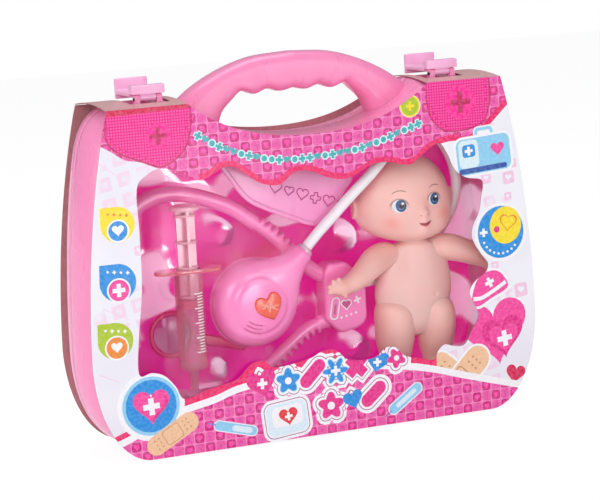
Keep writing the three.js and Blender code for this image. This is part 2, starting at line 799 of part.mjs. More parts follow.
function blisterTray() {
  const deep = trayFloorDepth;
  const flange = trayFlangeDepth;
  const edge = wallThickness + fit + shellInsetAt(flange + traySheet);
  const wall = edge + trayFlangeWidth;
  const pan = (front, back, sheet) => {
    const mouth = ringAt(front, wall + sheet, wall + sheet);
    const floor = ringAt(back, wall + trayDraft + sheet, wall + trayDraft + sheet);
    return solid(loft([mouth, floor]));
  };
  const rim = casePlate(flange, flange + traySheet, edge, edge);
  const body = join(rim, pan(flange, deep + traySheet, 0));
  const hollowed = cut(body, pan(flange - overrun, deep, traySheet));
  const outsides = [];
  const insides = [];
  const addFrustum = (x, z, radius, top) => {
    const root = radius / frustumTaperShare;
    outsides.push(frustumAlongY(root, radius, deep + traySheet / 2, top, x, z, smallSides));
    const inner = radius - traySheet;
    const innerRoot = root - traySheet;
    insides.push(frustumAlongY(innerRoot, inner, deep + overrun, top + traySheet, x, z, smallSides));
  };
  for (const [x, z, radius, back] of traySeats()) addFrustum(x, z, radius, back + seatGap);
  const reach = deep + shellDepth;
  for (const [x, z, radius, rise] of domeShares) {
    addFrustum(x * halfWidth, z * shoulderHeight, radius * shoulderSpacing, deep - rise * reach);
  }
  return cut(join(hollowed, ...outsides), ...insides);
}

// How far in the shell's outside lies at a distance from the parting plane.
function shellInsetAt(depth) {
  return ((shoulderHeight - shoulderAt(depth)) / topRounding) * sideRounding;
}

// The doll
const hipX = hipSpacing / 2;
const shoulderX = shoulderSpacing / 2;

// The wedge of the torso between the thighs, wider by a clearance where it cuts them.
function crotch(clearance) {
  const outline = crotchShares.map(([x, z]) => [
    dollX + x * hipSpacing + Math.sign(x) * clearance,
    torsoBase + z * torsoHeight,
  ]);
  return slab(shapeOf(outline), dollY - torsoRadius, dollY + torsoRadius);
}

function torso() {
  const profile = [new THREE.Vector2(0, torsoBase)];
  for (const [height, radius] of torsoShares) {
    profile.push(new THREE.Vector2(radius * torsoRadius, torsoBase + height * torsoHeight));
  }
  profile.push(new THREE.Vector2(0, torsoBase + torsoHeight));
  const lathed = new THREE.LatheGeometry(profile, roundSides).rotateX(Math.PI / 2);
  const body = solid(lathed.scale(1, torsoFlattening, 1).translate(dollX, dollY, 0));
  const neckBase = torsoBase + torsoHeight - neckLength;
  const neck = rodAlongZ(neckRadius, 2 * neckLength + fit, dollX, dollY, neckBase);
  const sockets = [];
  for (const hand of [-1, 1]) {
    const hip = thighRadius + jointClearance;
    const arm = shoulderRadius + jointClearance;
    const shoulderJoint = dollX + hand * shoulderX;
    sockets.push(ball(hip, hip, hip, dollX + hand * hipX, dollY, hipHeight, roundSides));
    sockets.push(ball(arm, arm, arm, shoulderJoint, dollY, shoulderJointHeight));
  }
  const aside = [dollX - torsoRadius - overrun, dollX + torsoRadius + overrun];
  const across = [dollY - torsoRadius, dollY + torsoRadius];
  const below = span(aside, across, [0, hipHeight]);
  return join(cut(join(body, neck), ...sockets, below), body.intersect(crotch(0)));
}

function head() {
  const x = dollX - headOffset;
  const z = headCentreHeight;
  const skull = ball(headWidth / 2, headDepth / 2, headHeight / 2, x, dollY, z, roundSides);
  const ears = [-1, 1].map((hand) => {
    const earX = x + hand * (headWidth / 2 - earRadius / 2);
    return ball(earRadius, earRadius / 2, earHalfHeight, earX, dollY, z - earRadius);
  });
  const noseY = dollY - headDepth / 2 + noseRadius / 2;
  const nose = ball(noseRadius, noseRadius, noseRadius, dollX, noseY, z - 2 * noseRadius);
  const socketBase = torsoBase + torsoHeight - neckLength;
  const socketLength = 2 * neckLength + 3 * fit;
  const socket = rodAlongZ(neckRadius + fit, socketLength, dollX, dollY, socketBase);
  const shoulders = torsoBase + torsoHeight + fit;
  const clear = span([x - headWidth, x + headWidth], [-headDepth, headDepth], [0, shoulders]);
  return cut(join(skull, ...ears, nose), socket, clear);
}

// A rounded limb through a row of centres; each ring's radius comes from a row of shares.
function limb(centres, radiusShares, jointRadius, tipRadius) {
  const curve = new THREE.CatmullRomCurve3(centres.map(([x, y, z]) => new THREE.Vector3(x, y, z)));
  const steps = radiusShares.length - 1;
  const frames = curve.computeFrenetFrames(steps, false);
  const rings = radiusShares.map((share, step) => {
    const along = step / steps;
    const full = jointRadius + (tipRadius - jointRadius) * along ** 2;
    const centre = curve.getPointAt(along);
    return Array.from({ length: smallSides }, (_, i) => {
      const angle = (2 * Math.PI * i) / smallSides;
      const point = centre.clone();
      point.addScaledVector(frames.normals[step], share * full * Math.cos(angle));
      return point.addScaledVector(frames.binormals[step], share * full * Math.sin(angle));
    });
  });
  return solid(loft(rings));
}

function leg(hand) {
  const x = dollX + hand * hipX;
  const hip = ball(thighRadius, thighRadius, thighRadius, x, dollY, hipHeight, roundSides);
  const foot = hipHeight - legLength;
  const shank = limb(
    [[x, dollY, hipHeight], [x, dollY, hipHeight - legLength / 2], [x, dollY, foot]],
    legRadiusShares, thighRadius, ankleRadius / legRadiusShares.at(-2),
  );
  return cut(join(hip, shank), crotch(jointClearance));
}

function arm(hand) {
  const reach = hand < 0 ? armReachLeft : armReachRight;
  const drop = hand < 0 ? armDropLeft : armDropRight;
  const forward = hand < 0 ? armForwardLeft : armForwardRight;
  const x = dollX + hand * shoulderX;
  const joint = ball(
    shoulderRadius, shoulderRadius, shoulderRadius, x, dollY, shoulderJointHeight,
  );
  const centres = [0, 0.5, 1].map((along) => [
    x + hand * along * reach,
    dollY - (1 - (1 - along) ** 2) * forward,
    shoulderJointHeight - along * drop,
  ]);
  const tip = wristRadius / armRadiusShares.at(-2);
  return join(joint, limb(centres, armRadiusShares, shoulderRadius, tip));
}

// The syringe
const barrelTop = barrelBase + barrelLength;
const boreRadius = barrelRadius - barrelWall;
const pistonBase = barrelBase + barrelWall + plungerTravel + fit;

function syringeBarrel() {
  const flange = new THREE.CylinderGeometry(1, 1, flangeThickness, roundSides).rotateX(Math.PI / 2);
  flange.scale(flangeReach, flangeDepth, 1).translate(syringeX, syringeY, barrelTop);
  const body = join(
    rodAlongZ(barrelRadius, barrelLength, syringeX, syringeY, barrelBase),
    solid(flange),
    rodAlongZ(nozzleRadius, nozzleLength + barrelWall, syringeX, syringeY, barrelBase - nozzleLength),
  );
  const bore = rodAlongZ(boreRadius, 2 * barrelLength, syringeX, syringeY, barrelBase + barrelWall);
  const drain = rodAlongZ(nozzleBore, 2 * barrelLength, syringeX, syringeY, barrelBase - barrelLength);
  return cut(body, bore, drain);
}

function syringePlunger() {
  const rodBase = pistonBase + pistonLength - pistonGrip;
  const plateBase = barrelTop + flangeThickness / 2 + plungerTravel + fit;
  const shoulderZ = pistonBase + pistonLength + fit;
  const length = plateBase - shoulderZ;
  const middle = shoulderZ + length / 2;
  return join(
    box(2 * plungerRodRadius, plungerRibThickness, length, syringeX, syringeY, middle),
    box(plungerRibThickness, 2 * plungerRodRadius, length, syringeX, syringeY, middle),
    rodAlongZ(plungerRibThickness, shoulderZ - rodBase + fit, syringeX, syringeY, rodBase, smallSides),
    rodAlongZ(thumbPlateRadius, thumbPlateThickness, syringeX, syringeY, plateBase),
  );
}

// The rubber piston, pressed over the end of the plunger.
function syringePiston() {
  const plug = rodAlongZ(boreRadius - fit, pistonLength, syringeX, syringeY, pistonBase);
  const grip = pistonBase + pistonLength - pistonGrip - fit;
  const socket = plungerRibThickness + fit;
  return cut(plug, rodAlongZ(socket, 2 * pistonGrip, syringeX, syringeY, grip, smallSides));
}

// The stethoscope
function heartOutline(width, grow) {
  const scale = width + 2 * grow;
  const right = new THREE.Path();
  right.moveTo(heartShares.point[0] * scale, heartShares.point[1] * scale);
  addCurve(right, heartShares.flank, scale, 0, scale);
  addCurve(right, heartShares.lobe, scale, 0, scale);
  const turned = symmetric(right).map((point) => point.rotateAround(new THREE.Vector2(), heartTurn));
  return new THREE.Shape(turned.map((point) => new THREE.Vector2(point.x + buttonX, point.y + buttonZ)));
}

// The dome of the chest piece, solid, or its hollow when a wall is given.
function chestDome(wall) {
  const radius = chestRadius - wall;
  const front = chestFront + wall;
  const back = wall > 0 ? chestSplit + overrun : chestSplit;
  const rise = back - front;
  const profile = chestProfileShares.map(
    ([radiusShare, along]) => new THREE.Vector2(radiusShare * radius, -(front + along * rise)),
  );
  const lathed = new THREE.LatheGeometry(profile, roundSides);
  return solid(lathed.rotateX(Math.PI).translate(chestX, 0, chestZ));
}

// A cone along the chest piece's neck, from the dome towards the tube.
function chestCone(rootRadius, endRadius, from, to) {
  const cone = new THREE.CylinderGeometry(endRadius, rootRadius, to - from, smallSides);
  cone.translate(0, (from + to) / 2, 0).rotateX(Math.PI / 2).rotateY(chestNeckTurn);
  return solid(cone.translate(chestX, chestNeckDepth, chestZ));
}

function chestFrontShell() {
  const neck = chestCone(chestNeckRootRadius, chestNeckRadius, chestRadius / 2, chestNeckReach);
  const bore = chestCone(tubeRadius + fit, tubeRadius + fit, chestNeckReach - tubePlug, 2 * chestNeckReach);
  const hole = slab(heartOutline(buttonWidth, fit), chestFront - overrun, chestSplit);
  return cut(join(chestDome(0), neck), chestDome(chestWall), bore, hole);
}

function chestBackCover() {
  return frustumAlongY(coverRadius, coverEdgeRadius, chestSplit + fit, chestBack, chestX, chestZ);
}

// The heart button, with a wider heart inside the dome that keeps it in.
function heartButton() {
  const retainerFront = chestFront + buttonRetainerSetback;
  const face = chestFront - buttonProud;
  const stem = slab(heartOutline(buttonWidth, 0), face, retainerFront + buttonRetainer);
  const retainer = slab(
    heartOutline(buttonWidth, buttonRetainer), retainerFront, retainerFront + buttonRetainer,
  );
  return join(stem, retainer);
}

// The button's spring, as the sleeve that its turns fill between the button and the back cover.
function buttonSpring() {
  const front = chestFront + buttonRetainerSetback + buttonRetainer + fit;
  const back = chestSplit;
  const sleeve = frustumAlongY(springRadius, springRadius, back, front, buttonX, buttonZ, smallSides);
  const bore = springRadius - springWire;
  return cut(
    sleeve,
    frustumAlongY(bore, bore, back + overrun, front - overrun, buttonX, buttonZ, smallSides),
  );
}

function stethoscopeTube() {
  const route = new THREE.CatmullRomCurve3(tubeRoute.map(([x, y, z]) => new THREE.Vector3(x, y, z)));
  const section = new THREE.Shape();
  section.absarc(0, 0, tubeRadius, 0, 2 * Math.PI);
  const tube = new THREE.ExtrudeGeometry(section, {
    steps: tubeSteps,
    curveSegments: tubeCurveSteps,
    bevelEnabled: false,
    extrudePath: route,
  });
  return solid(tube);
}

const armSpacing = yokeX - chestX;
const earArmFront = earArmBack - earArmThickness;

// A flat strap that follows a path, with saw teeth on its outer side between two shares.
function strap(shares, width, teeth, outerSide) {
  const places = shares.map(([x, z]) => new THREE.Vector2(yokeX + x * armSpacing, yokeZ + z * yokeHeight));
  const curve = new THREE.SplineCurve(places);
  const steps = 8 * curveSteps;
  const near = [];
  const far = [];
  for (let i = 0; i <= steps; i += 1) {
    const along = i / steps;
    const point = curve.getPointAt(along);
    const tangent = curve.getTangentAt(along);
    const normal = new THREE.Vector2(-tangent.y, tangent.x).multiplyScalar(outerSide);
    const toothed = teeth && along > teeth[0] && along < teeth[1] && i % 2 === 0;
    const reach = width / 2 - (toothed ? toothDepth : 0);
    far.push(point.clone().addScaledVector(normal, reach));
    near.push(point.clone().addScaledVector(normal, -width / 2));
  }
  return new THREE.Shape([...far, ...near.reverse()]);
}

function earArm(shares, teeth, outerSide) {
  const band = slab(strap(shares, earArmWidth, teeth, outerSide), earArmFront, earArmBack);
  const [tipX, tipZ] = shares.at(-1);
  const x = yokeX + tipX * armSpacing;
  const z = yokeZ + tipZ * yokeHeight;
  const middle = (earArmFront + earArmBack) / 2;
  return join(band, ball(earTipRadius, earTipHalfDepth, earTipRadius, x, middle, z));
}

// Sockets in the yoke for the first stretch of each ear arm.
function armSockets() {
  return [upperArmShares, lowerArmShares].map((shares) =>
    slab(strap(shares, earArmWidth + 2 * fit, null, 1), earArmFront - fit, earArmBack + fit),
  );
}

function yokeOutline() {
  return shapeOf(yokeShares.map(([x, z]) => [yokeX + x * yokeWidth, yokeZ + z * yokeHeight]));
}

function tubeSocket() {
  const [x, y, z] = tubeRoute.at(-1);
  return rodAlongX(tubeRadius + 2 * fit, yokeWidth, x - fit + yokeWidth / 2, y, z, smallSides);
}

function stethoscopeYoke() {
  const back = yokeFront + yokeDepth - yokeCoverThickness - fit;
  return cut(slab(yokeOutline(), yokeFront, back), ...armSockets(), tubeSocket());
}

function yokeCover() {
  const back = yokeFront + yokeDepth;
  return cut(slab(yokeOutline(), back - yokeCoverThickness, back), ...armSockets());
}

function nurseCap() {
  const places = capShares.map(([x, z]) => [capLeft + x * capWidth, capBottom + z * capHeight]);
  const loop = new THREE.SplineCurve(places.concat([places[0]]).map(([x, z]) => new THREE.Vector2(x, z)));
  const outline = loop.getPoints(2 * places.length).slice(0, -1);
  return slab(new THREE.Shape(outline), capFront, capFront + capThickness);
}

// Middle of the hand lens's handle.
function lensHandlePlace() {
  const reach = lensRingRadius + lensHandleLength / 2;
  const turn = -Math.atan2(lensHandleDrop, lensHandleLength);
  return { x: lensX + reach * Math.cos(turn), z: lensZ + reach * Math.sin(turn), turn };
}

function lensFrame() {
  const back = lensRingFront + lensRingDepth;
  const { x, z, turn } = lensHandlePlace();
  const inner = lensRingRadius - lensRingWidth;
  const grip = new THREE.BoxGeometry(lensHandleLength + lensRingWidth, lensRingDepth, lensHandleWidth);
  grip.rotateY(-turn).translate(x, (lensRingFront + back) / 2, z);
  const ring = frustumAlongY(lensRingRadius, lensRingRadius, lensRingFront, back, lensX, lensZ);
  const hole = frustumAlongY(inner, inner, lensRingFront - overrun, back + overrun, lensX, lensZ);
  return cut(join(ring, solid(grip)), hole);
}

function lensGlass() {
  const middle = lensRingFront + lensRingDepth / 2;
  const radius = lensRingRadius - lensRingWidth - fit;
  const half = lensThickness / 2;
  return frustumAlongY(radius, radius, middle - half, middle + half, lensX, lensZ);
}

// Materials, with the colours of the photographed toy.
function material(colour, roughness, opacity = 1) {
  return new THREE.MeshStandardMaterial({
    color: colour,
    roughness,
    metalness: 0,
    transparent: opacity < 1,
    opacity,
  });
}

const shellPink = material(0xff9cc8, 0.3);
const latchPink = material(0xffb4dc, 0.35);
const clearPlastic = material(0xf4f0fa, 0.08, 0.25);
const printedCard = material(0xf763b4, 0.45);
const plainCard = material(0xb27c80, 0.8);
const magentaCard = material(0xe0006a, 0.6);
const dollSkin = material(0xf3b9a6, 0.55);
const syringePink = material(0xff8fa8, 0.12, 0.5);
const rubberPink = material(0xd83a78, 0.7);
const toyPink = material(0xff8cca, 0.28);
const heartRed = material(0xf4603c, 0.3);
const tubeWhite = material(0xf4f2f6, 0.45);
const steel = material(0xc0c4c8, 0.35);
const lensMagenta = material(0xd61c78, 0.3);

// The scene graph: the lid's pieces and the rear's pieces, as the toy comes apart.
const doctorCase = new THREE.Group();
const lid = new THREE.Group();
const rear = new THREE.Group();
doctorCase.add(rear, lid);

function place(group, name, made, finish) {
  const { vertProperties, triVerts } = made.getMesh();
  const geometry = new THREE.BufferGeometry();
  geometry.setAttribute("position", new THREE.Float32BufferAttribute(vertProperties, 3));
  geometry.setIndex(Array.from(triVerts));
  const mesh = new THREE.Mesh(geometry, finish);
  mesh.name = name;
  group.add(mesh);
}

place(rear, "rear_shell", rearShell(), shellPink);
place(rear, "back_card", backCard(), plainCard);
place(rear, "backing_card", backingCard(), magentaCard);
place(rear, "blister_tray", blisterTray(), clearPlastic);
place(rear, "doll_torso", torso(), dollSkin);
place(rear, "doll_head", head(), dollSkin);
place(rear, "doll_arm_left", arm(-1), dollSkin);
place(rear, "doll_arm_right", arm(1), dollSkin);
place(rear, "doll_leg_left", leg(-1), dollSkin);
place(rear, "doll_leg_right", leg(1), dollSkin);
place(rear, "syringe_barrel", syringeBarrel(), syringePink);
place(rear, "syringe_plunger", syringePlunger(), syringePink);
place(rear, "syringe_piston", syringePiston(), rubberPink);
place(rear, "stethoscope_chest_shell", chestFrontShell(), toyPink);
place(rear, "stethoscope_back_cover", chestBackCover(), toyPink);
place(rear, "heart_button", heartButton(), heartRed);
place(rear, "button_spring", buttonSpring(), steel);
place(rear, "stethoscope_tube", stethoscopeTube(), tubeWhite);
place(rear, "stethoscope_yoke", stethoscopeYoke(), toyPink);
place(rear, "yoke_cover", yokeCover(), toyPink);
place(rear, "ear_arm_upper", earArm(upperArmShares, upperTeethShares, -1), toyPink);
place(rear, "ear_arm_lower", earArm(lowerArmShares, lowerTeethShares, 1), toyPink);
place(rear, "nurse_cap", nurseCap(), toyPink);
place(rear, "hand_lens_frame", lensFrame(), lensMagenta);
place(rear, "hand_lens_glass", lensGlass(), clearPlastic);
place(lid, "front_shell", frontShell(), shellPink);
place(lid, "window_pane", windowPane(), clearPlastic);
place(lid, "front_card", frontCard(), printedCard);
for (const [side, hand] of [["left", -1], ["right", 1]]) {
  place(rear, "hinge_pin_" + side, hingePin(hand), steel);
  place(lid, "latch_" + side, latch(hand), latchPink);
  place(lid, "latch_pin_" + side, latchPin(hand), steel);
}

export default doctorCase;
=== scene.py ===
"""Looks of a toy doctor case in its printed card sleeve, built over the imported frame.

Sizes are written in millimetres, +Z up, with the window facing -Y. They become metres when a mesh
is made. The left side is -X.
"""

from __future__ import annotations

import logging
from collections.abc import Callable, Sequence
from dataclasses import dataclass, field
from enum import Enum
from typing import TypeAlias

import bmesh
import bpy
import numpy as np
from bpy.types import Material, Node, NodeSocket, Object
from mathutils import Matrix, Vector
from mathutils.geometry import delaunay_2d_cdt

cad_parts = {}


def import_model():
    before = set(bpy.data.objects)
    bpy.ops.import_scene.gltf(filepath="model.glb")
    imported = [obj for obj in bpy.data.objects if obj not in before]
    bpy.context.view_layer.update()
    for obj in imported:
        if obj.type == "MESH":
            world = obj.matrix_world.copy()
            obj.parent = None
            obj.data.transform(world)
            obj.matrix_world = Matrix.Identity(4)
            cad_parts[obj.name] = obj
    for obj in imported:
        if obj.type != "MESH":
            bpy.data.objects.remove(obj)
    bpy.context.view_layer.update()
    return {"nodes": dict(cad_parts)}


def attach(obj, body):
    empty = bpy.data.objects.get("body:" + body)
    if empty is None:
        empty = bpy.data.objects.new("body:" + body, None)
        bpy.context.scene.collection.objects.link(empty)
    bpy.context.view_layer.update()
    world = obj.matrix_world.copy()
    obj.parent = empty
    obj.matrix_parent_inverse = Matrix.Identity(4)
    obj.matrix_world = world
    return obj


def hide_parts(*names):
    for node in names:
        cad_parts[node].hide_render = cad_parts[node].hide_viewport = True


LOG = logging.getLogger("toy_doctor_case")
MM = 0.001
TURN = 2.0 * np.pi
HINGE_X = 90.0
LATCH_X = 98.5
LATCH_Y = -14.0
LATCH_Z = 220.8
REARWARD = np.array([0.0, 1.0, 0.0])
Array = np.ndarray
Rows = tuple[tuple[float, ...], ...]
Table = Sequence[Sequence[float]]
Value: TypeAlias = "Signal | float"
Colour = tuple[float, float, float, float]
Cuts = list[tuple[float, float, float]]
Placing = Callable[[Array, bool], Array]


def ink(code: str) -> Colour:
    """Turns a six-digit screen colour into a linear one: ((c + 0.055) / 1.055) to the power 2.4.

    Args:
        code: the colour as "#rrggbb".

    Returns:
        Red, green, blue and an alpha of 1, all linear.
    """
    shown = np.array([int(code[i : i + 2], 16) for i in (1, 3, 5)]) / 255.0
    linear = np.where(shown <= 0.04045, shown / 12.92, ((shown + 0.055) / 1.055) ** 2.4)
    return (float(linear[0]), float(linear[1]), float(linear[2]), 1.0)


# ---- shader wiring


def adds(operation: str, swapped: bool = False) -> Callable[..., Signal]:
    """A method that adds one Math node over a signal and at most one other value.

    Args:
        operation: the node's operation.
        swapped: whether the other value comes first.

    Returns:
        The method, which returns the node's signal.
    """

    def method(self: Signal, *others: Value) -> Signal:
        """Adds the node."""
        values = (*others, self) if swapped else (self, *others)
        made = self.wiring.node("ShaderNodeMath", {"operation": operation}, dict(enumerate(values)))
        return Signal(self.wiring, made.outputs[0])

    return method


@dataclass(frozen=True)
class Signal:
    """A number carried by a socket; arithmetic, comparison and abs() on it add Math nodes."""

    wiring: Wiring
    socket: NodeSocket

    __add__ = __radd__ = adds("ADD")
    __sub__ = adds("SUBTRACT")
    __rsub__ = adds("SUBTRACT", True)
    __mul__ = __rmul__ = adds("MULTIPLY")
    __truediv__ = adds("DIVIDE")
    __lt__ = adds("LESS_THAN")
    __gt__ = adds("GREATER_THAN")
    __abs__ = adds("ABSOLUTE")
    fraction = adds("FRACT")
    whole = adds("FLOOR")
    least = adds("MINIMUM")
    most = adds("MAXIMUM")
    root = adds("SQRT")

    def ramp(self, low: float, high: float) -> Signal:
        """Rises smoothly from 0 at low to 1 at high; low may be the larger one."""
        sockets = {0: self, 1: low, 2: high, 3: 0.0, 4: 1.0}
        made = self.wiring.node("ShaderNodeMapRange", {"interpolation_type": "SMOOTHSTEP"}, sockets)
        return Signal(self.wiring, made.outputs[0])


class Wiring:
    """One material's nodes, with its Principled shader at hand."""

    def __init__(self, name: str) -> None:
        """Makes the material with its first two nodes.

        Args:
            name: the material's name.
        """
        self.material = bpy.data.materials.new(name)
        self.material.use_nodes = True
        self.tree = self.material.node_tree
        self.shader = next(n for n in self.tree.nodes if n.type == "BSDF_PRINCIPLED")

    def node(self, kind: str, settings: dict | None = None, sockets: dict | None = None) -> Node:
        """Adds a node.

        Args:
            kind: the node's type name.
            settings: properties that are set first.
            sockets: values, signals or sockets for its inputs, by name or place.

        Returns:
            The new node.
        """
        made = self.tree.nodes.new(kind)
        for key, value in (settings or {}).items():
            setattr(made, key, value)
        for key, value in (sockets or {}).items():
            self.feed(made.inputs[key], value)
        return made

    def feed(self, socket: NodeSocket, value: object) -> None:
        """Links a signal or socket to an input, or sets the input's own value."""
        source = value.socket if isinstance(value, Signal) else value
        if isinstance(source, NodeSocket):
            self.tree.links.new(source, socket)
        else:
            socket.default_value = source

    def surface(self, **inputs: object) -> None:
        """Feeds the Principled shader; Base_Color stands for its Base Color input."""
        for key, value in inputs.items():
            self.feed(self.shader.inputs[key.replace("_", " ")], value)

    def place(self) -> NodeSocket:
        """Object coordinates, in metres."""
        return self.node("ShaderNodeTexCoord").outputs["Object"]

    def axes(self) -> tuple[Signal, Signal, Signal]:
        """The three object coordinates, in millimetres."""
        split = self.node("ShaderNodeSeparateXYZ", None, {0: self.place()})
        x, y, z = (Signal(self, socket) * (1 / MM) for socket in split.outputs)
        return x, y, z

    def mix(self, share: Value, first: object, second: object) -> NodeSocket:
        """Blends two colours: first at 0, second at 1."""
        made = self.node("ShaderNodeMix", {"data_type": "RGBA"}, {0: share, 6: first, 7: second})
        return made.outputs[2]

    def speckle(self, size: float, detail: float = 2.0, stretch: Sequence[float] = (1, 1, 1)) -> Signal:
        """Noise of a given grain.

        Args:
            size: width of a grain in millimetres.
            detail: number of finer layers.
            stretch: how much denser the grain is along each axis.

        Returns:
            The noise, about 0.5 on average.
        """
        dense = [s / (size * MM) for s in stretch]
        spot = self.node("ShaderNodeVectorMath", {"operation": "MULTIPLY"}, {0: self.place(), 1: dense})
        settings = {"Vector": spot.outputs[0], "Scale": 1.0, "Detail": detail}
        return Signal(self, self.node("ShaderNodeTexNoise", None, settings).outputs[0])

    def relief(self, height: Signal, depth: float) -> NodeSocket:
        """A Bump node: height of 1 stands depth millimetres proud."""
        return self.node("ShaderNodeBump", None, {"Height": height, "Distance": depth * MM}).outputs[0]

    def facing(self, blend: float) -> Signal:
        """0 where the surface faces the eye, 1 at its grazing edge."""
        return Signal(self, self.node("ShaderNodeLayerWeight", None, {"Blend": blend}).outputs["Facing"])


# ---- finishes


@dataclass(frozen=True)
class Finish:
    """A named finish, made into a material by the wiring that its kind gives it."""

    name: str

    def dress(self, w: Wiring) -> None:
        """Wires the look."""

    def material(self) -> Material:
        """The finish as a new material."""
        w = Wiring(self.name)
        self.dress(w)
        return w.material


@dataclass(frozen=True)
class MouldedPlastic(Finish):
    """Coloured, moulded plastic with a slight cloudiness, a fine grain and faint flow marks."""

    colour: str
    deep: str
    roughness: float = 0.3
    coat: float = 0.25
    grain: float = 0.02
    glow: float = 0.12

    def dress(self, w: Wiring) -> None:
        """Base colour = colour blended towards the deep one by two noises; bump = fine grain."""
        cloud = w.speckle(38.0, 3.0)
        flow = w.speckle(9.0, 2.0, (1.0, 1.0, 0.25))
        share = cloud.ramp(0.35, 0.75) * 0.16 + flow.ramp(0.45, 0.8) * 0.1
        w.surface(
            Base_Color=w.mix(share, ink(self.colour), ink(self.deep)),
            Roughness=flow.ramp(0.2, 0.8) * 0.1 + (self.roughness - 0.05),
            Coat_Weight=self.coat,
            Coat_Roughness=0.12,
            Subsurface_Weight=self.glow,
            Subsurface_Radius=(0.006, 0.0022, 0.003),
            Subsurface_Scale=1.0,
            Normal=w.relief(w.speckle(0.9, 2.0) + w.speckle(16.0, 1.0) * 4.0, self.grain),
        )


@dataclass(frozen=True)
class ClearSheet(Finish):
    """Clear plastic sheet: a mirror layer whose opacity rises towards its grazing edges."""

    tint: str
    least: float
    edge: float
    haze: float = 0.02
    ripple: float = 0.05
    shine: float = 1.0
    painted_sheen: float = 0.0

    def dress(self, w: Wiring) -> None:
        """Alpha = least + edge x facing squared + haze x noise + a share in coarse whitish patches.

        The sheet is metallic where it only reflects. Its whitish patches are matt and glow by emission: a painted
        reflection with a painted glow.
        """
        side = w.facing(0.35)
        wave = w.speckle(14.0, 2.0)
        # Coarse whitish patches: a painted reflection on the film.
        patch = w.speckle(31.0, 0.6, (1.0, 1.0, 1.35)).ramp(0.55, 0.63) * (1.0 if self.painted_sheen else 0.0)
        w.surface(
            Base_Color=w.mix(wave.ramp(0.3, 0.7) * 0.5, ink(self.tint), ink("#FFFFFF")),
            Metallic=(1.0 - patch) * self.shine,
            # Emission in the patches: a painted glow.
            Emission_Color=w.mix(patch, ink("#000000"), ink("#E6D2EA")),
            Emission_Strength=0.4 if self.painted_sheen else 0.0,
            Roughness=wave.ramp(0.3, 0.8) * 0.05 + 0.04,
            Alpha=side * side * self.edge + wave.ramp(0.4, 0.8) * self.haze + patch * self.painted_sheen + self.least,
            Normal=w.relief(wave, self.ripple),
        )


@dataclass(frozen=True)
class TintedPlastic(Finish):
    """See-through tinted plastic: a thin body colour under a glossy coat, denser at its edges."""

    colour: str
    deep: str
    least: float
    edge: float

    def dress(self, w: Wiring) -> None:
        """Alpha = least + edge x facing; colour blended by noise."""
        side = w.facing(0.4)
        cloud = w.speckle(11.0, 2.0)
        w.surface(
            Base_Color=w.mix(side.ramp(0.1, 0.9) * 0.7 + cloud * 0.2, ink(self.colour), ink(self.deep)),
            Roughness=cloud.ramp(0.3, 0.7) * 0.05 + 0.08,
            Alpha=(side * self.edge + cloud * 0.06 + self.least).least(1.0),
            Coat_Weight=1.0,
            Coat_Roughness=0.04,
            Coat_IOR=1.7,
            Normal=w.relief(w.speckle(5.0, 1.0), 0.03),
        )


@dataclass(frozen=True)
class PlainInk(Finish):
    """One flat ink on glossy card, slightly mottled, over the card's fibre."""

    colour: str

    def dress(self, w: Wiring) -> None:
        """Base colour = the ink, 4% towards white or black by noise; bump = card fibre."""
        mottle = w.speckle(2.2, 3.0)
        pale = w.mix(0.06, ink(self.colour), ink("#FFFFFF"))
        dull = w.mix(0.05, ink(self.colour), ink("#301020"))
        w.surface(Base_Color=w.mix(mottle.ramp(0.35, 0.65), pale, dull), **sheet_gloss(w, mottle))


def sheet_gloss(w: Wiring, mottle: Signal) -> dict[str, object]:
    """Gloss of varnished card.

    Args:
        w: the wiring of the ink.
        mottle: noise of the ink.

    Returns:
        Inputs of the Principled shader: roughness, coat and fibre relief.
    """
    fibre = w.speckle(0.6, 2.0) + w.speckle(26.0, 1.0) * 3.0
    return {
        "Roughness": mottle * 0.12 + 0.3,
        "Coat_Weight": 0.12,
        "Coat_Roughness": 0.15,
        "Specular_IOR_Level": 0.28,
        "Normal": w.relief(fibre, 0.03),
    }


@dataclass(frozen=True)
class CheckedInk(Finish):
    """Pink check: rounded squares with a heart on the even cells, a small heart on the odd ones."""

    cell: float = 6.8
    ground: str = "#EC50A6"
    square: str = "#D80A7E"
    rim: str = "#BC0674"
    line: str = "#F67EC0"
    small: str = "#E23EA0"

    def heart(self, u: Signal, v: Signal, size: float) -> Signal:
        """Inside of a heart: (u^2 + v^2 - 1)^3 - u^2 v^3 below zero, with u, v over its size."""
        a, b = u / size, v / size + 0.1
        round_part = a * a + b * b - 1.0
        return (round_part * round_part * round_part - a * a * b * b * b) < 0.0

    def dress(self, w: Wiring) -> None:
        """Cells come from the whole part of x and z over the cell; shapes from the rest."""
        x, _, z = w.axes()
        across, up = x / self.cell + 200.0, z / self.cell + 200.0
        u, v = across.fraction() - 0.5, up.fraction() - 0.5
        odd = ((across.whole() + up.whole()) * 0.5).fraction() * 2.0
        reach = (u * u * u * u + v * v * v * v).root().root()
        mottle = w.speckle(1.8, 3.0)
        even = 1.0 - odd
        colour = w.mix(reach > 0.455, ink(self.ground), ink(self.line))
        colour = w.mix((reach < 0.455) * even, colour, ink(self.rim))
        colour = w.mix((reach < 0.385) * even, colour, ink(self.square))
        colour = w.mix(self.heart(u, v, 0.22) * even, colour, ink("#F740AC"))
        colour = w.mix(self.heart(u, v, 0.15) * odd, colour, ink(self.small))
        colour = w.mix(mottle.ramp(0.3, 0.7) * 0.12, colour, ink("#FFD8EE"))
        w.surface(Base_Color=colour, **sheet_gloss(w, mottle))


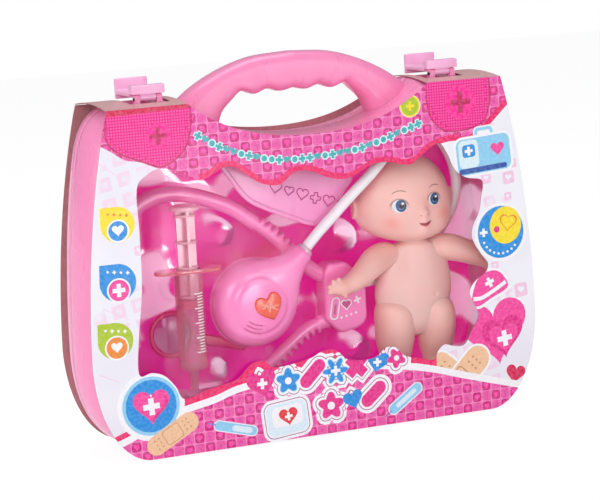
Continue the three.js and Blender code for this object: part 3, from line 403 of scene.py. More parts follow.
@dataclass(frozen=True)
class DottedInk(Finish):
    """Cloth-like dot grid printed in two pinks."""

    pitch: float = 1.75
    ground: str = "#EE128A"
    dot: str = "#FF74BE"

    def dress(self, w: Wiring) -> None:
        """A dot is where both cell coordinates lie within 0.3 of the middle of their cell."""
        x, _, z = w.axes()
        u = abs((x / self.pitch + 300.0).fraction() - 0.5)
        v = abs((z / self.pitch + 300.0).fraction() - 0.5)
        mottle = w.speckle(2.4, 2.0)
        dot = u.most(v).ramp(0.36, 0.2) * (mottle * 0.6 + 0.35)
        w.surface(Base_Color=w.mix(dot, ink(self.ground), ink(self.dot)), **sheet_gloss(w, mottle))


class PaleArt(Finish):
    """White varnished card with a faint lilac shade and pale pink tiles."""

    def dress(self, w: Wiring) -> None:
        """Tiles are a coarse grid's cells chosen by a step of smooth noise."""
        x, _, z = w.axes()
        u = abs((x / 13.0 + z / 60.0 + 100.0).fraction() - 0.5)
        v = abs((z / 13.0 - x / 60.0 + 100.0).fraction() - 0.5)
        edge = u.most(v)
        tile = (edge < 0.33) * (1.0 - (edge < 0.14) * 0.6)
        chosen = w.speckle(24.0, 0.0).ramp(0.56, 0.68)
        mottle = w.speckle(3.0, 3.0)
        shade = w.mix(w.speckle(60.0, 1.0).ramp(0.35, 0.7), ink("#F3F2F8"), ink("#E9E7F1"))
        shade = w.mix(tile * chosen * 0.5, shade, ink("#F6BFE0"))
        w.surface(Base_Color=shade, **sheet_gloss(w, mottle))


@dataclass(frozen=True)
class GreyBoard(Finish):
    """Unprinted inside of the card: brown-grey pulp with darker fibres."""

    colour: str
    deep: str

    def dress(self, w: Wiring) -> None:
        """Base colour blends two browns by stretched noise; rough, with a fibre relief."""
        fibre = w.speckle(1.4, 4.0, (1.0, 1.0, 0.3))
        cloud = w.speckle(45.0, 2.0)
        share = fibre.ramp(0.35, 0.7) * 0.35 + cloud.ramp(0.3, 0.7) * 0.5
        w.surface(
            Base_Color=w.mix(share, ink(self.colour), ink(self.deep)),
            Roughness=fibre * 0.2 + 0.6,
            Normal=w.relief(fibre, 0.06),
        )


class MagentaBoard(Finish):
    """Backing card behind the contents: magenta with crimson and pale drifts, dulled by the tray, with a painted glow.
    """

    def dress(self, w: Wiring) -> None:
        """Base colour steps between three inks by two smooth noises; the same colour also glows as emission, a painted
        glow that stands in for light inside the case.
        """
        drift = w.speckle(34.0, 1.0)
        patch = w.speckle(52.0, 2.0, (1.0, 1.0, 1.6))
        colour = w.mix(drift.ramp(0.42, 0.6), ink("#F012A2"), ink("#E00A8E"))
        colour = w.mix(patch.ramp(0.56, 0.66) * 0.7, colour, ink("#CA0456"))
        # Emission in the ink's own colour: a painted glow that brightens the shaded inside of the case.
        w.surface(Base_Color=colour, Emission_Color=colour, Emission_Strength=0.4, **sheet_gloss(w, drift))


class DarkSteel(Finish):
    """Drawn steel pin with fine lengthwise marks."""

    def dress(self, w: Wiring) -> None:
        """Metallic grey whose roughness follows marks stretched along X."""
        mark = w.speckle(0.5, 2.0, (0.05, 1.0, 1.0))
        w.surface(
            Base_Color=w.mix(mark, ink("#8A8A90"), ink("#C4C4CA")),
            Metallic=1.0,
            Roughness=mark * 0.25 + 0.2,
            Normal=w.relief(mark, 0.01),
        )


# ---- outlines and forms


def circle(count: int) -> Array:
    """Equal angles round a full turn."""
    return np.linspace(0.0, TURN, count, endpoint=False)


def columns(*parts: Array) -> Array:
    """Numbers side by side: one row for each point."""
    return np.stack(parts, axis=1)


def bezier(start: Sequence[float], shares: Sequence[float], count: int) -> Array:
    """Cubic Bezier: (1-t)^3 p0 + 3(1-t)^2 t p1 + 3(1-t) t^2 p2 + t^3 p3.

    Args:
        start: p0.
        shares: p1, p2 and p3 in six numbers.
        count: number of points.

    Returns:
        The points after the start.
    """
    t = np.linspace(0.0, 1.0, count + 1)[1:, None]
    p0, (p1, p2, p3) = np.asarray(start, float), np.asarray(shares, float).reshape(3, 2)
    s = 1.0 - t
    return s**3 * p0 + 3 * s * s * t * p1 + 3 * s * t * t * p2 + t**3 * p3


def spline(points: Array | Table, per_span: int, closed: bool = True) -> Array:
    """Catmull-Rom curve through points.

    Args:
        points: places on the curve.
        per_span: steps from one place to the next.
        closed: whether the last place joins the first.

    Returns:
        The curve's points.
    """
    p = np.asarray(points, float)
    if closed:
        before, after, beyond = np.roll(p, 1, 0), np.roll(p, -1, 0), np.roll(p, -2, 0)
    else:
        ends = np.vstack([2 * p[0] - p[1], p, 2 * p[-1] - p[-2]])
        before, p, after, beyond = ends[:-3], ends[1:-2], ends[2:-1], ends[3:]
    t = (np.arange(per_span) / per_span)[None, :, None]
    b, p0, a, n = (q[:, None, :] for q in (before, p, after, beyond))
    curve = 0.5 * (2 * p0 + (a - b) * t + (2 * b - 5 * p0 + 4 * a - n) * t**2)
    curve = (curve + 0.5 * (3 * p0 - b - 3 * a + n) * t**3).reshape(-1, p.shape[-1])
    return curve if closed else np.vstack([curve, after[-1]])


def evenly(points: Array, count: int, closed: bool = True) -> Array:
    """Points at equal distances along a line.

    Args:
        points: the line's corners.
        count: number of points.
        closed: whether the line returns to its start.

    Returns:
        The points.
    """
    p = np.vstack([points, points[:1]]) if closed else np.asarray(points, float)
    along = np.concatenate([[0.0], np.cumsum(np.linalg.norm(np.diff(p, axis=0), axis=1))])
    want = np.linspace(0.0, along[-1], count + 1)[:-1] if closed else np.linspace(0.0, along[-1], count)
    return np.stack([np.interp(want, along, p[:, k]) for k in range(p.shape[1])], axis=1)


def area(points: Array) -> float:
    """Signed area of an outline: half the sum of x times next y less next x times y."""
    x, y = points[:, 0], points[:, 1]
    return 0.5 * float(np.sum(x * np.roll(y, -1) - np.roll(x, -1) * y))


def counter(loop: Array) -> Array:
    """An outline in counter-clockwise order."""
    return loop if area(loop) > 0 else loop[::-1]


def both_sides(right: Array) -> Array:
    """A right half outline with its mirror image, from bottom to top and back."""
    return np.vstack([right, right[1:-1][::-1] * [-1.0, 1.0]])


def run(line: Array) -> float:
    """Length of an open line."""
    return float(np.linalg.norm(np.diff(line, axis=0), axis=1).sum())


def unit(ways: Array) -> Array:
    """Rows scaled to length 1."""
    return ways / np.maximum(np.linalg.norm(ways, axis=1, keepdims=True), 1e-9)


def along_loop(loop: Array) -> Array:
    """Unit directions along a closed line."""
    return unit(np.roll(loop, -1, 0) - np.roll(loop, 1, 0))


def inset(points: Array, side: float | Array, rise: float | Array) -> Array:
    """Moves a counter-clockwise outline inwards: each point by its normal, one size for each axis."""
    along = along_loop(points)
    return points + columns(-side * along[:, 1], rise * along[:, 0])


def rounding(depth: Array, power: float = 1.85) -> Array:
    """Share of a rounded edge that is cut away at a share of its depth: 1 - (1 - d^n)^(1/n)."""
    return 1.0 - (1.0 - np.clip(depth, 0, 1) ** power) ** (1.0 / power)


def grid(rows: int, columns: int, over: bool) -> Array:
    """Quads between neighbouring points of closed rings.

    Args:
        rows: number of rings.
        columns: points in each ring.
        over: whether the last ring joins the first.

    Returns:
        Four point numbers for each quad.
    """
    i = np.arange(rows if over else rows - 1)[:, None]
    j = np.arange(columns)[None, :]
    k, n = (j + 1) % columns, (i + 1) % rows
    quads = np.stack([i * columns + j, i * columns + k, n * columns + k, n * columns + j], -1)
    return quads.reshape(-1, 4)


@dataclass
class Form:
    """Points in millimetres and the polygons over them."""

    points: Array = field(default_factory=lambda: np.zeros((0, 3)))
    faces: list[Sequence[int]] = field(default_factory=list)

    def __add__(self, other: Form) -> Form:
        """Both forms as one, still separate shells."""
        shift = len(self.points)
        moved = [[corner + shift for corner in face] for face in other.faces]
        return Form(np.vstack([self.points, other.points]), list(self.faces) + moved)


def slots(*forms: Form) -> Array:
    """A material's number for each polygon of forms that are added up: 0 for the first form's, and so on."""
    return np.repeat(np.arange(len(forms)), [len(form.faces) for form in forms])


def skin(rings: Array, caps: bool = True, over: bool = False) -> Form:
    """Joins rings of points into a surface.

    Args:
        rings: points by ring, place and axis.
        caps: whether the first and last ring are filled.
        over: whether the last ring joins the first.

    Returns:
        The surface.
    """
    rows, columns = rings.shape[:2]
    faces: list[Sequence[int]] = grid(rows, columns, over).tolist()
    if caps and not over:
        faces.append(list(range(columns))[::-1])
        faces.append(list(range((rows - 1) * columns, rows * columns)))
    return Form(rings.reshape(-1, 3), faces)


def upright(outline: Array, y: float) -> Array:
    """Places a flat outline in the plane at depth y."""
    return columns(outline[:, 0], np.full(len(outline), float(y)), outline[:, 1])


def plate(outline: Array, front: float, back: float, edge: float = 0.3, steps: int = 4) -> Form:
    """A flat plate with rounded edges: inset = edge (1 - sin a) where y lies edge (1 - cos a) in.

    Args:
        outline: counter-clockwise outline.
        front: the smaller y.
        back: the larger y.
        edge: radius of the edges.
        steps: steps of each edge.

    Returns:
        The closed plate.
    """
    a = np.linspace(0.0, np.pi / 2, steps + 1)
    y = np.concatenate([front + edge * (1 - np.cos(a)), back - edge * (1 - np.cos(a[::-1]))])
    cut = edge * (1 - np.sin(np.concatenate([a, a[::-1]])))
    rings = np.stack([upright(inset(outline, c, c), d) for c, d in zip(cut, y)])
    return skin(rings)


def turned(profile: Table | Array, centre: Sequence[float], axis: int = 2, sides: int = 48, over: bool = False) -> Form:
    """A turned body: each profile point (r, h) becomes a ring of radius r at height h along an axis.

    Args:
        profile: radii and heights from one end to the other.
        centre: where the axis starts.
        axis: 0 for X, 1 for Y, 2 for Z.
        sides: points in a ring.
        over: whether the last ring joins the first.

    Returns:
        The closed body.
    """
    p, angle = np.array(profile, float), circle(sides)
    h, first, second = np.repeat(p[:, 1:2], sides, axis=1), p[:, :1] * np.cos(angle), p[:, :1] * np.sin(angle)
    order = ((h, first, second), (first, h, second), (first, second, h))[axis]
    return skin(np.stack(order, axis=-1) + np.asarray(centre, float), over=over)


def swept(path: Array, radii: Array | float, sides: int = 20, squash: Array | float = 1.0) -> Form:
    """A round body along a path: rings of radius r in the plane across the path's direction.

    Args:
        path: N x 3 places.
        radii: one radius, or one for each place.
        sides: points in a ring.
        squash: share of the radius towards Y.

    Returns:
        The closed body.
    """
    along = unit(np.gradient(path, axis=0))
    depth = unit(REARWARD - along * along[:, 1:2])
    side = np.cross(along, depth)
    angle = circle(sides)[None, :, None]
    r, flat = (np.broadcast_to(np.asarray(v, float), len(path))[:, None, None] for v in (radii, squash))
    ring = side[:, None] * np.cos(angle) + depth[:, None] * np.sin(angle) * flat
    return skin(path[:, None] + r * ring)


def block(low: Sequence[float], high: Sequence[float]) -> Form:
    """A box between two corners."""
    corner = np.array([[x, y, z] for z in (0, 1) for y in (0, 1) for x in (0, 1)], float)
    faces = [[0, 2, 3, 1], [4, 5, 7, 6], [0, 1, 5, 4], [2, 6, 7, 3], [0, 4, 6, 2], [1, 3, 7, 5]]
    return Form(np.asarray(low, float) + corner * (np.asarray(high, float) - np.asarray(low, float)), faces)


class Smooth(Enum):
    """How a piece is shaded: flat, all round, or round with edges above an angle in degrees left crisp."""

    FLAT = 0.0
    CRISP = 28.0
    SOFT = 50.0
    ROUND = 180.0


def linked(name: str, data: object) -> Object:
    """A new object in the scene, at the origin."""
    made = bpy.data.objects.new(name, data)
    bpy.context.scene.collection.objects.link(made)
    return made


def make_piece(
    name: str,
    form: Form,
    finish: Material | Sequence[Material],
    node: str = "",
    body: str = "case",
    smooth: Smooth = Smooth.CRISP,
    chosen: Array | None = None,
    tidy: bool = True,
) -> Object:
    """Makes a mesh object from a form, with its finish and its body.

    Args:
        name: the piece's name.
        form: its points and polygons.
        finish: its material or materials.
        node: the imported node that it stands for, if any.
        body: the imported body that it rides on.
        smooth: its shading.
        chosen: the material's number for each polygon.
        tidy: whether the faces are turned outwards.

    Returns:
        The object, at the origin.
    """
    mesh = bpy.data.meshes.new(name)
    mesh.from_pydata((form.points * MM).tolist(), [], [list(map(int, f)) for f in form.faces])
    for material in [finish] if isinstance(finish, Material) else finish:
        mesh.materials.append(material)
    if chosen is not None:
        mesh.polygons.foreach_set("material_index", np.asarray(chosen, np.int32))
    if tidy:
        work = bmesh.new()
        work.from_mesh(mesh)
        bmesh.ops.recalc_face_normals(work, faces=work.faces)
        work.to_mesh(mesh)
        work.free()
    mesh.polygons.foreach_set("use_smooth", np.full(len(mesh.polygons), smooth is not Smooth.FLAT))
    if smooth in (Smooth.CRISP, Smooth.SOFT):
        mesh.set_sharp_from_angle(angle=np.radians(smooth.value))
    mesh.update()
    piece = linked(name, mesh)
    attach(piece, body)
    if node:
        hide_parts(node)
    LOG.info("%s: %d points on %s", name, len(mesh.vertices), body)
    return piece


def modify(piece: Object, kind: str, **settings: object) -> None:
    """Adds a modifier and applies it at once."""
    modifier = piece.modifiers.new(kind.lower(), kind)
    for key, value in settings.items():
        setattr(modifier, key, value)
    graph = bpy.context.evaluated_depsgraph_get()
    graph.update()
    done = bpy.data.meshes.new_from_object(piece.evaluated_get(graph))
    piece.modifiers.clear()
    old = piece.data
    piece.data = done
    done.name = old.name
    bpy.data.meshes.remove(old)


def melt(piece: Object, voxel: float, rounds: int) -> None:
    """Fuses a piece's overlapping shells with a voxel remesh and smooths the joins.

    Args:
        piece: the piece.
        voxel: size of a voxel in millimetres.
        rounds: rounds of smoothing.
    """
    modify(piece, "REMESH", mode="VOXEL", voxel_size=voxel * MM, adaptivity=0.0)
    modify(piece, "SMOOTH", factor=0.5, iterations=rounds)
    piece.data.polygons.foreach_set("use_smooth", np.ones(len(piece.data.polygons), bool))
    piece.data.update()


# ---- the case


@dataclass
class CaseOutline:
    """The case seen from the front, as shares of its half width and height above the base."""

    half_width: float = 152.5
    shoulder: float = 217.6
    base: float = 6.5
    corner_start: float = 0.774
    crest: float = 0.521
    per_curve: int = 22
    curves: Rows = (
        (0.918, 0, 1, 0.121, 1, 0.277),
        (1, 0.49, 0.97, 0.727, 0.928, 0.869),
        (0.911, 0.926, 0.859, 1, 0.734, 1),
    )
    dip: tuple[float, ...] = (0.393, 0.917, 0.236, 0.874, 0, 0.874)
    straight_to: float = 108.0
    straight_blend: float = 16.0

    def points(self) -> Array:
        """The whole outline, counter-clockwise: straight base, three Beziers, straight crest, dip, mirrored."""
        start = np.array([self.corner_start, 0.0])
        places = [np.linspace([0.0, 0.0], start, 14)]
        for shares in self.curves:
            places.append(bezier(places[-1][-1], shares, self.per_curve))
        places.append(np.linspace(places[-1][-1], [self.crest, 1.0], 8)[1:])
        places.append(bezier(places[-1][-1], self.dip, self.per_curve))
        return both_sides(np.vstack(places) * [self.half_width, self.shoulder - self.base] + [0.0, self.base])

    def moved_in(self, side: float, rise: float) -> Array:
        """The outline moved inwards by its normals; over the dip straight down, so that it never crosses itself."""
        rim = self.points()
        along = along_loop(rim)
        down = np.clip((self.straight_to - np.abs(rim[:, 0])) / self.straight_blend, 0, 1)
        down = np.where(rim[:, 1] > self.shoulder / 2, down, 0.0)[:, None]
        along = unit(along * (1 - down) + np.array([-1.0, 0.0]) * down)
        return rim + columns(-side * along[:, 1], rise * along[:, 0])


@dataclass
class Handle:
    """The carrying handle: a bowed grip with finger bumps, rounded all round."""

    reach: float = 80.0
    shoulder: float = 217.6
    rise: float = 23.4
    grip: float = 23.0
    hole_reach: float = 48.0
    half_depth: float = 11.5
    fullness: float = 0.66
    outer: Rows = (
        (1, -0.62), (0.985, -0.25), (0.9, 0.03), (0.78, 0.31), (0.62, 0.59), (0.45, 0.81), (0.28, 0.94), (0, 1),
    )
    hole: Rows = (
        (0, 0), (0.18, -0.07), (0.36, 0.02), (0.54, -0.09), (0.72, 0.02), (0.86, -0.2), (0.98, -0.44),
        (1.03, -0.66), (1.1, -1.15),
    )

    def edges(self, count: int = 150) -> tuple[Array, Array]:
        """The grip's outer and inner edge, from the right foot over the top to the left foot."""
        flip = np.array([-1.0, 1.0])
        outer = spline(self.outer, 8, False) * [self.reach, self.rise] + [0.0, self.shoulder]
        top = self.shoulder + self.rise - self.grip
        hole = spline(self.hole, 8, False)[::-1] * [self.hole_reach, self.rise] + [0.0, top]
        lines = (np.vstack([side, side[:-1][::-1] * flip]) for side in (outer, hole))
        first, second = (evenly(line, count, False) for line in lines)
        return first, second

    def half(self, side: float) -> Form:
        """Half of the grip; side is 1 for the rear.

        Each station is half a superellipse between the two edges: share = cos a to the power e along
        it, sin a to the power e out of the parting plane.
        """
        outer, hole = self.edges()
        a = np.linspace(0.0, np.pi, 33)[None, :, None]
        c, s = np.cos(a), np.sin(a)
        across = np.sign(c) * np.abs(c) ** self.fullness
        out = np.abs(s) ** self.fullness
        flat = (outer + hole)[:, None] / 2 + (outer - hole)[:, None] / 2 * across
        y = np.broadcast_to(side * (0.15 + (self.half_depth - 0.15) * out), flat.shape[:2] + (1,))
        return skin(np.concatenate([flat[..., :1], y, flat[..., 1:]], axis=2))


@dataclass
class CaseShells:
    """The two moulded shells with the handle's halves, hinge knuckles, feet, lugs and catches."""

    outline: CaseOutline = field(default_factory=CaseOutline)
    handle: Handle = field(default_factory=Handle)
    depth: float = 31.5
    wall: float = 1.8
    half_gap: float = 0.15
    side_rounding: float = 16.0
    top_rounding: float = 7.2
    lip: float = 7.0

    def rows(self, wall: float, steps: int = 14) -> Cuts:
        """Depth, side inset and top inset of each ring from the parting line to the face."""
        share = np.sin(np.linspace(0.0, 1.0, steps) * np.pi / 2)
        depth = self.half_gap + (self.depth - wall - self.half_gap) * share
        cut = rounding(share)
        return [(d, c * self.side_rounding + wall, c * self.top_rounding + wall) for d, c in zip(depth, cut)]

    def parting_bead(self, rows: Cuts) -> Cuts:
        """Adds a small chamfer at the parting line, so that the two halves read apart."""
        first = rows[0]
        return [(first[0], 0.7, 0.7), (first[0] + 0.7, 0.0, 0.0)] + [r for r in rows[1:] if r[0] > 1.2]

    def rear(self) -> Form:
        """A bowl: outside from the back to the parting line, then the inside back again."""
        rows = self.parting_bead(self.rows(0.0))[::-1] + self.rows(self.wall)
        rings = np.stack([upright(self.outline.moved_in(s, r), d) for d, s, r in rows])
        return skin(rings) + self.handle.half(1.0)

    def front(self) -> Form:
        """A ring: outside, face, the opening's rolled lip, and the inside back to the parting line."""
        side, top = self.side_rounding + self.lip, self.top_rounding + self.lip
        lip = [(self.depth - d, side - c, top - c) for d, c in ((0.0, 1.2), (0.35, 0.35), (1.2, 0.0), (self.wall, 0.0))]
        rows = self.parting_bead(self.rows(0.0)) + lip + self.rows(self.wall)[::-1]
        rings = np.stack([upright(self.outline.moved_in(s, r), -d) for d, s, r in rows])
        return skin(rings, over=True) + self.handle.half(-1.0)

    def under(self, side: float) -> Form:
        """Feet and hinge knuckles of one shell."""
        made = Form()
        near, far = sorted((side * 15.0, side * 26.0))
        for hand in (-1.0, 1.0):
            made += block((hand * 85 - 25, near, 0.0), (hand * 85 + 25, far, 9.0))
            offsets = (-8.0, 8.0) if side > 0 else (0.0,)
            length = 4.0 if side > 0 else 3.7
            for offset in offsets:
                x = hand * HINGE_X + offset
                made += turned([[2.7, -length], [2.7, length]], (x, 0, 3.0), 0, 24)
                web = sorted((side * 0.3, side * 5.0))
                made += block((x - length, web[0], 3.0), (x + length, web[1], 8.0))
        return made

    def shoulder_parts(self, side: float) -> Form:
        """Latch lugs on the lid's shoulders, or the low catches on the rear ones."""
        made = Form()
        for hand in (-1.0, 1.0):
            x = hand * LATCH_X
            if side > 0:
                made += block((x - 10.5, 13.5, 214.0), (x + 10.5, 15.5, 217.1))
                continue
            for end in (-1.0, 1.0):
                centre = x + end * 7.05
                made += turned([[2.0, -1.75], [2.0, 1.75]], (centre, LATCH_Y, LATCH_Z), 0, 24)
                made += block((centre - 1.75, -16, 215.0), (centre + 1.75, -12, LATCH_Z))
        return made

    def build(self, finish: Material) -> None:
        """Makes both shells."""
        rear = self.rear() + self.under(1.0) + self.shoulder_parts(1.0)
        make_piece("case_rear_shell", rear, finish, "rear_shell", smooth=Smooth.SOFT)
        front = self.front() + self.under(-1.0) + self.shoulder_parts(-1.0)
        make_piece("case_front_shell", front, finish, "front_shell", "lid", Smooth.SOFT)


@dataclass
class Latches:
    """The two latches: front bar, strap and tail tab as one bent profile pulled along X."""

    width: float = 21.0
    barrel: float = 2.0
    profile: Rows = (
        (-16.3, 223.1), (-16.3, 227.9), (-15.7, 228.5), (-11.0, 228.5), (-10.3, 227.8), (-10.0, 224.3),
        (-9.2, 223.5), (15.9, 223.4), (17.0, 224.4), (17.2, 230.4), (17.8, 231.0), (19.0, 231.0),
        (19.5, 230.4), (19.5, 218.9), (19.1, 218.5), (17.4, 218.5), (17.0, 218.9), (17.0, 220.6),
        (16.2, 221.4), (-9.6, 221.4), (-10.6, 223.0),
    )

    def form(self, hand: float) -> Form:
        """The profile in YZ at six stations across, inset a little at the ends, plus the knuckle."""
        shape = counter(np.array(self.profile))
        half, x = self.width / 2, hand * LATCH_X
        stations = ((-half, 0.45), (-half + 0.15, 0.13), (-half + 0.45, 0.0))
        stations += tuple((-s, c) for s, c in stations[::-1])
        rings = []
        for across, cut in stations:
            ring = inset(shape, cut, cut)
            rings.append(columns(np.full(len(ring), x + across), ring[:, 0], ring[:, 1]))
        neck = block((x - 5, -15, LATCH_Z), (x + 5, -12, 223.4))
        knuckle = turned([[self.barrel, -5.0], [self.barrel, 5.0]], (x, LATCH_Y, LATCH_Z), 0, 28)
        return skin(np.stack(rings)) + neck + knuckle

    def build(self, finish: Material) -> None:
        """Makes both latches on their own bodies."""
        for hand, side in ((-1.0, "left"), (1.0, "right")):
            name = f"latch_{side}"
            make_piece(f"{name}_moulded", self.form(hand), finish, name, name)


# ---- printed card


class Ink(Enum):
    """Inks of the print, in the order of the card's material slots."""

    PALE = "#F2F0F7"
    CHECK = "check"
    DOTS = "dots"
    WHITE = "#F8F7FB"
    HOT = "#EE0468"
    CRIMSON = "#D8004E"
    FAINT = "#F5CBE4"
    SALMON = "#DDA5A6"
    VIVID = "#FF0A96"
    ROSE = "#F7409F"
    MAGENTA = "#E81C8A"
    PLUM = "#8C2C72"
    WINE = "#C8005E"
    BLUE = "#0A8FE0"
    SKY = "#8FD0F2"
    ICE = "#DDF1FB"
    NAVY = "#2A55A8"
    YELLOW = "#FBE116"
    GREEN = "#AFC90E"
    ORANGE = "#F08A24"
    TAN = "#F3C59C"
    BROWN = "#C98E62"
    AQUA = "#39B0B6"
    MINT = "#D4F6F6"
    RED = "#E4242C"

    def material(self) -> Material:
        """The finish of this ink."""
        if self is Ink.CHECK:
            return CheckedInk("print_pink_check").material()
        if self is Ink.DOTS:
            return DottedInk("print_dotted_pocket").material()
        if self is Ink.PALE:
            return PaleArt("print_pale_ground").material()
        return PlainInk(f"print_{self.name.lower()}", self.value).material()


def disc(x: float, z: float, radius: float, wide: float = 1.0, count: int = 40) -> Array:
    """A circle, or an ellipse whose width is wide times its height."""
    a = circle(count)
    return columns(x + wide * radius * np.cos(a), z + radius * np.sin(a))


def spun(points: Array, x: float, z: float, turn: float) -> Array:
    """Turns points by an angle about (x, z)."""
    c, s = np.cos(turn), np.sin(turn)
    return (points - [x, z]) @ np.array([[c, s], [-s, c]]) + [x, z]


def heart(x: float, z: float, width: float, turn: float = 0.0, count: int = 44) -> Array:
    """A heart: x = 16 sin^3 t, z = 13 cos t - 5 cos 2t - 2 cos 3t - cos 4t, over 32 units of width."""
    t = circle(count) + 0.001
    across = 16 * np.sin(t) ** 3
    up = 13 * np.cos(t) - 5 * np.cos(2 * t) - 2 * np.cos(3 * t) - np.cos(4 * t) + 2.5
    shape = columns(across, up) * (width / 32.0) + [x, z]
    return spun(shape[::-1], x, z, turn)


def plus(x: float, z: float, reach: float, arm: float, turn: float = 0.0) -> Array:
    """A cross with arms of a given reach and half width."""
    r, a = reach, arm
    right = np.array([(a, -r), (a, -a), (r, -a), (r, a), (a, a), (a, r)], float)
    return spun(np.vstack([right, -right]) + [x, z], x, z, turn)


def capsule(start: Sequence[float], end: Sequence[float], radius: float) -> Array:
    """A rounded bar between two points: two half circles joined."""
    a, b = np.asarray(start, float), np.asarray(end, float)
    lean = float(np.arctan2(*(b - a)[::-1]))
    angle = np.linspace(-np.pi / 2, np.pi / 2, 14) + lean
    cap = columns(np.cos(angle), np.sin(angle)) * radius
    return np.vstack([b + cap, a - cap])


def drop(x: float, z: float, radius: float) -> Array:
    """A disc whose upper left quarter ends in a square corner."""
    a = np.linspace(-np.pi, np.pi / 2, 32)
    round_part = columns(x + radius * np.cos(a), z + radius * np.sin(a))
    return np.vstack([round_part, [[x - radius * 0.96, z + radius]]])


def lobed(x: float, z: float, reach: float, lobes: int, turn: float = 0.0, depth: float = 0.2) -> Array:
    """A flower: its radius is reach x (1 - depth + depth cos(lobes x angle))."""
    a = circle(60)
    radius = reach * (1.0 - depth + depth * np.cos(lobes * a))
    return columns(x + radius * np.cos(a + turn), z + radius * np.sin(a + turn))


def rounded_box(x: float, z: float, width: float, height: float, corner: float, turn: float = 0.0) -> Array:
    """A rectangle with round corners: quarter circles about four inner corners."""
    a = circle(32) + TURN / 64
    inner = columns(np.sign(np.cos(a)) * (width / 2 - corner), np.sign(np.sin(a)) * (height / 2 - corner))
    shape = inner + corner * columns(np.cos(a), np.sin(a)) + [x, z]
    return spun(shape, x, z, turn)


def grown(shape: Array, amount: float) -> Array:
    """A shape moved outwards by an amount along its normals."""
    return inset(counter(shape), -amount, -amount)


def ribbon(line: Array, low: float, high: float) -> Array:
    """A band beside an open line, between two distances to its left."""
    along = unit(np.gradient(line, axis=0))
    left = columns(-along[:, 1], along[:, 0])
    return np.vstack([line + left * low, (line + left * high)[::-1]])


@dataclass
class Artwork:
    """Shapes of ink on a sheet; each one covers those before it."""

    shapes: list[tuple[Array, Ink]] = field(default_factory=list)

    def paint(self, shape: Array, colour: Ink) -> None:
        """Adds one shape, turned counter-clockwise."""
        self.shapes.append((counter(shape), colour))

    def add(self, *rows: tuple) -> None:
        """Adds rows of a shape, its ink and, where it has one, the width of its white margin."""
        for shape, colour, *margin in rows:
            if margin:
                self.paint(grown(shape, margin[0]), Ink.WHITE)
            self.paint(shape, colour)

    def dashes(self, line: Array, colour: Ink, dash: float = 2.4, gap: float = 1.7, half: float = 0.38) -> None:
        """Sewn-looking dashes along an open line."""
        count = max(int(run(line) / (dash + gap)), 1)
        spots = evenly(line, 2 * count + 1, False)
        for near, far in zip(spots[0:-1:2], spots[1::2]):
            step = (far - near) * (dash / (dash + gap))
            self.paint(ribbon(np.stack([near, near + step]), -half, half), colour)

    def beads(self, line: Array, count: int, size: float) -> None:
        """A row of small crosses, hearts and dots in two aquas along an open line."""
        spots = evenly(line, count, False)
        slope = np.gradient(spots, axis=0)
        for number, (spot, lean) in enumerate(zip(spots, np.arctan2(slope[:, 1], slope[:, 0]))):
            makers = (
                plus(*spot, size, size * 0.36, lean),
                disc(*spot, size * 0.74, count=20),
                heart(*spot, size * 2.0, lean, 26),
            )
            shape = makers[(number * 2 + number // 5) % 3]
            self.add((grown(shape, size * 0.34), Ink.MINT), (shape, Ink.AQUA))


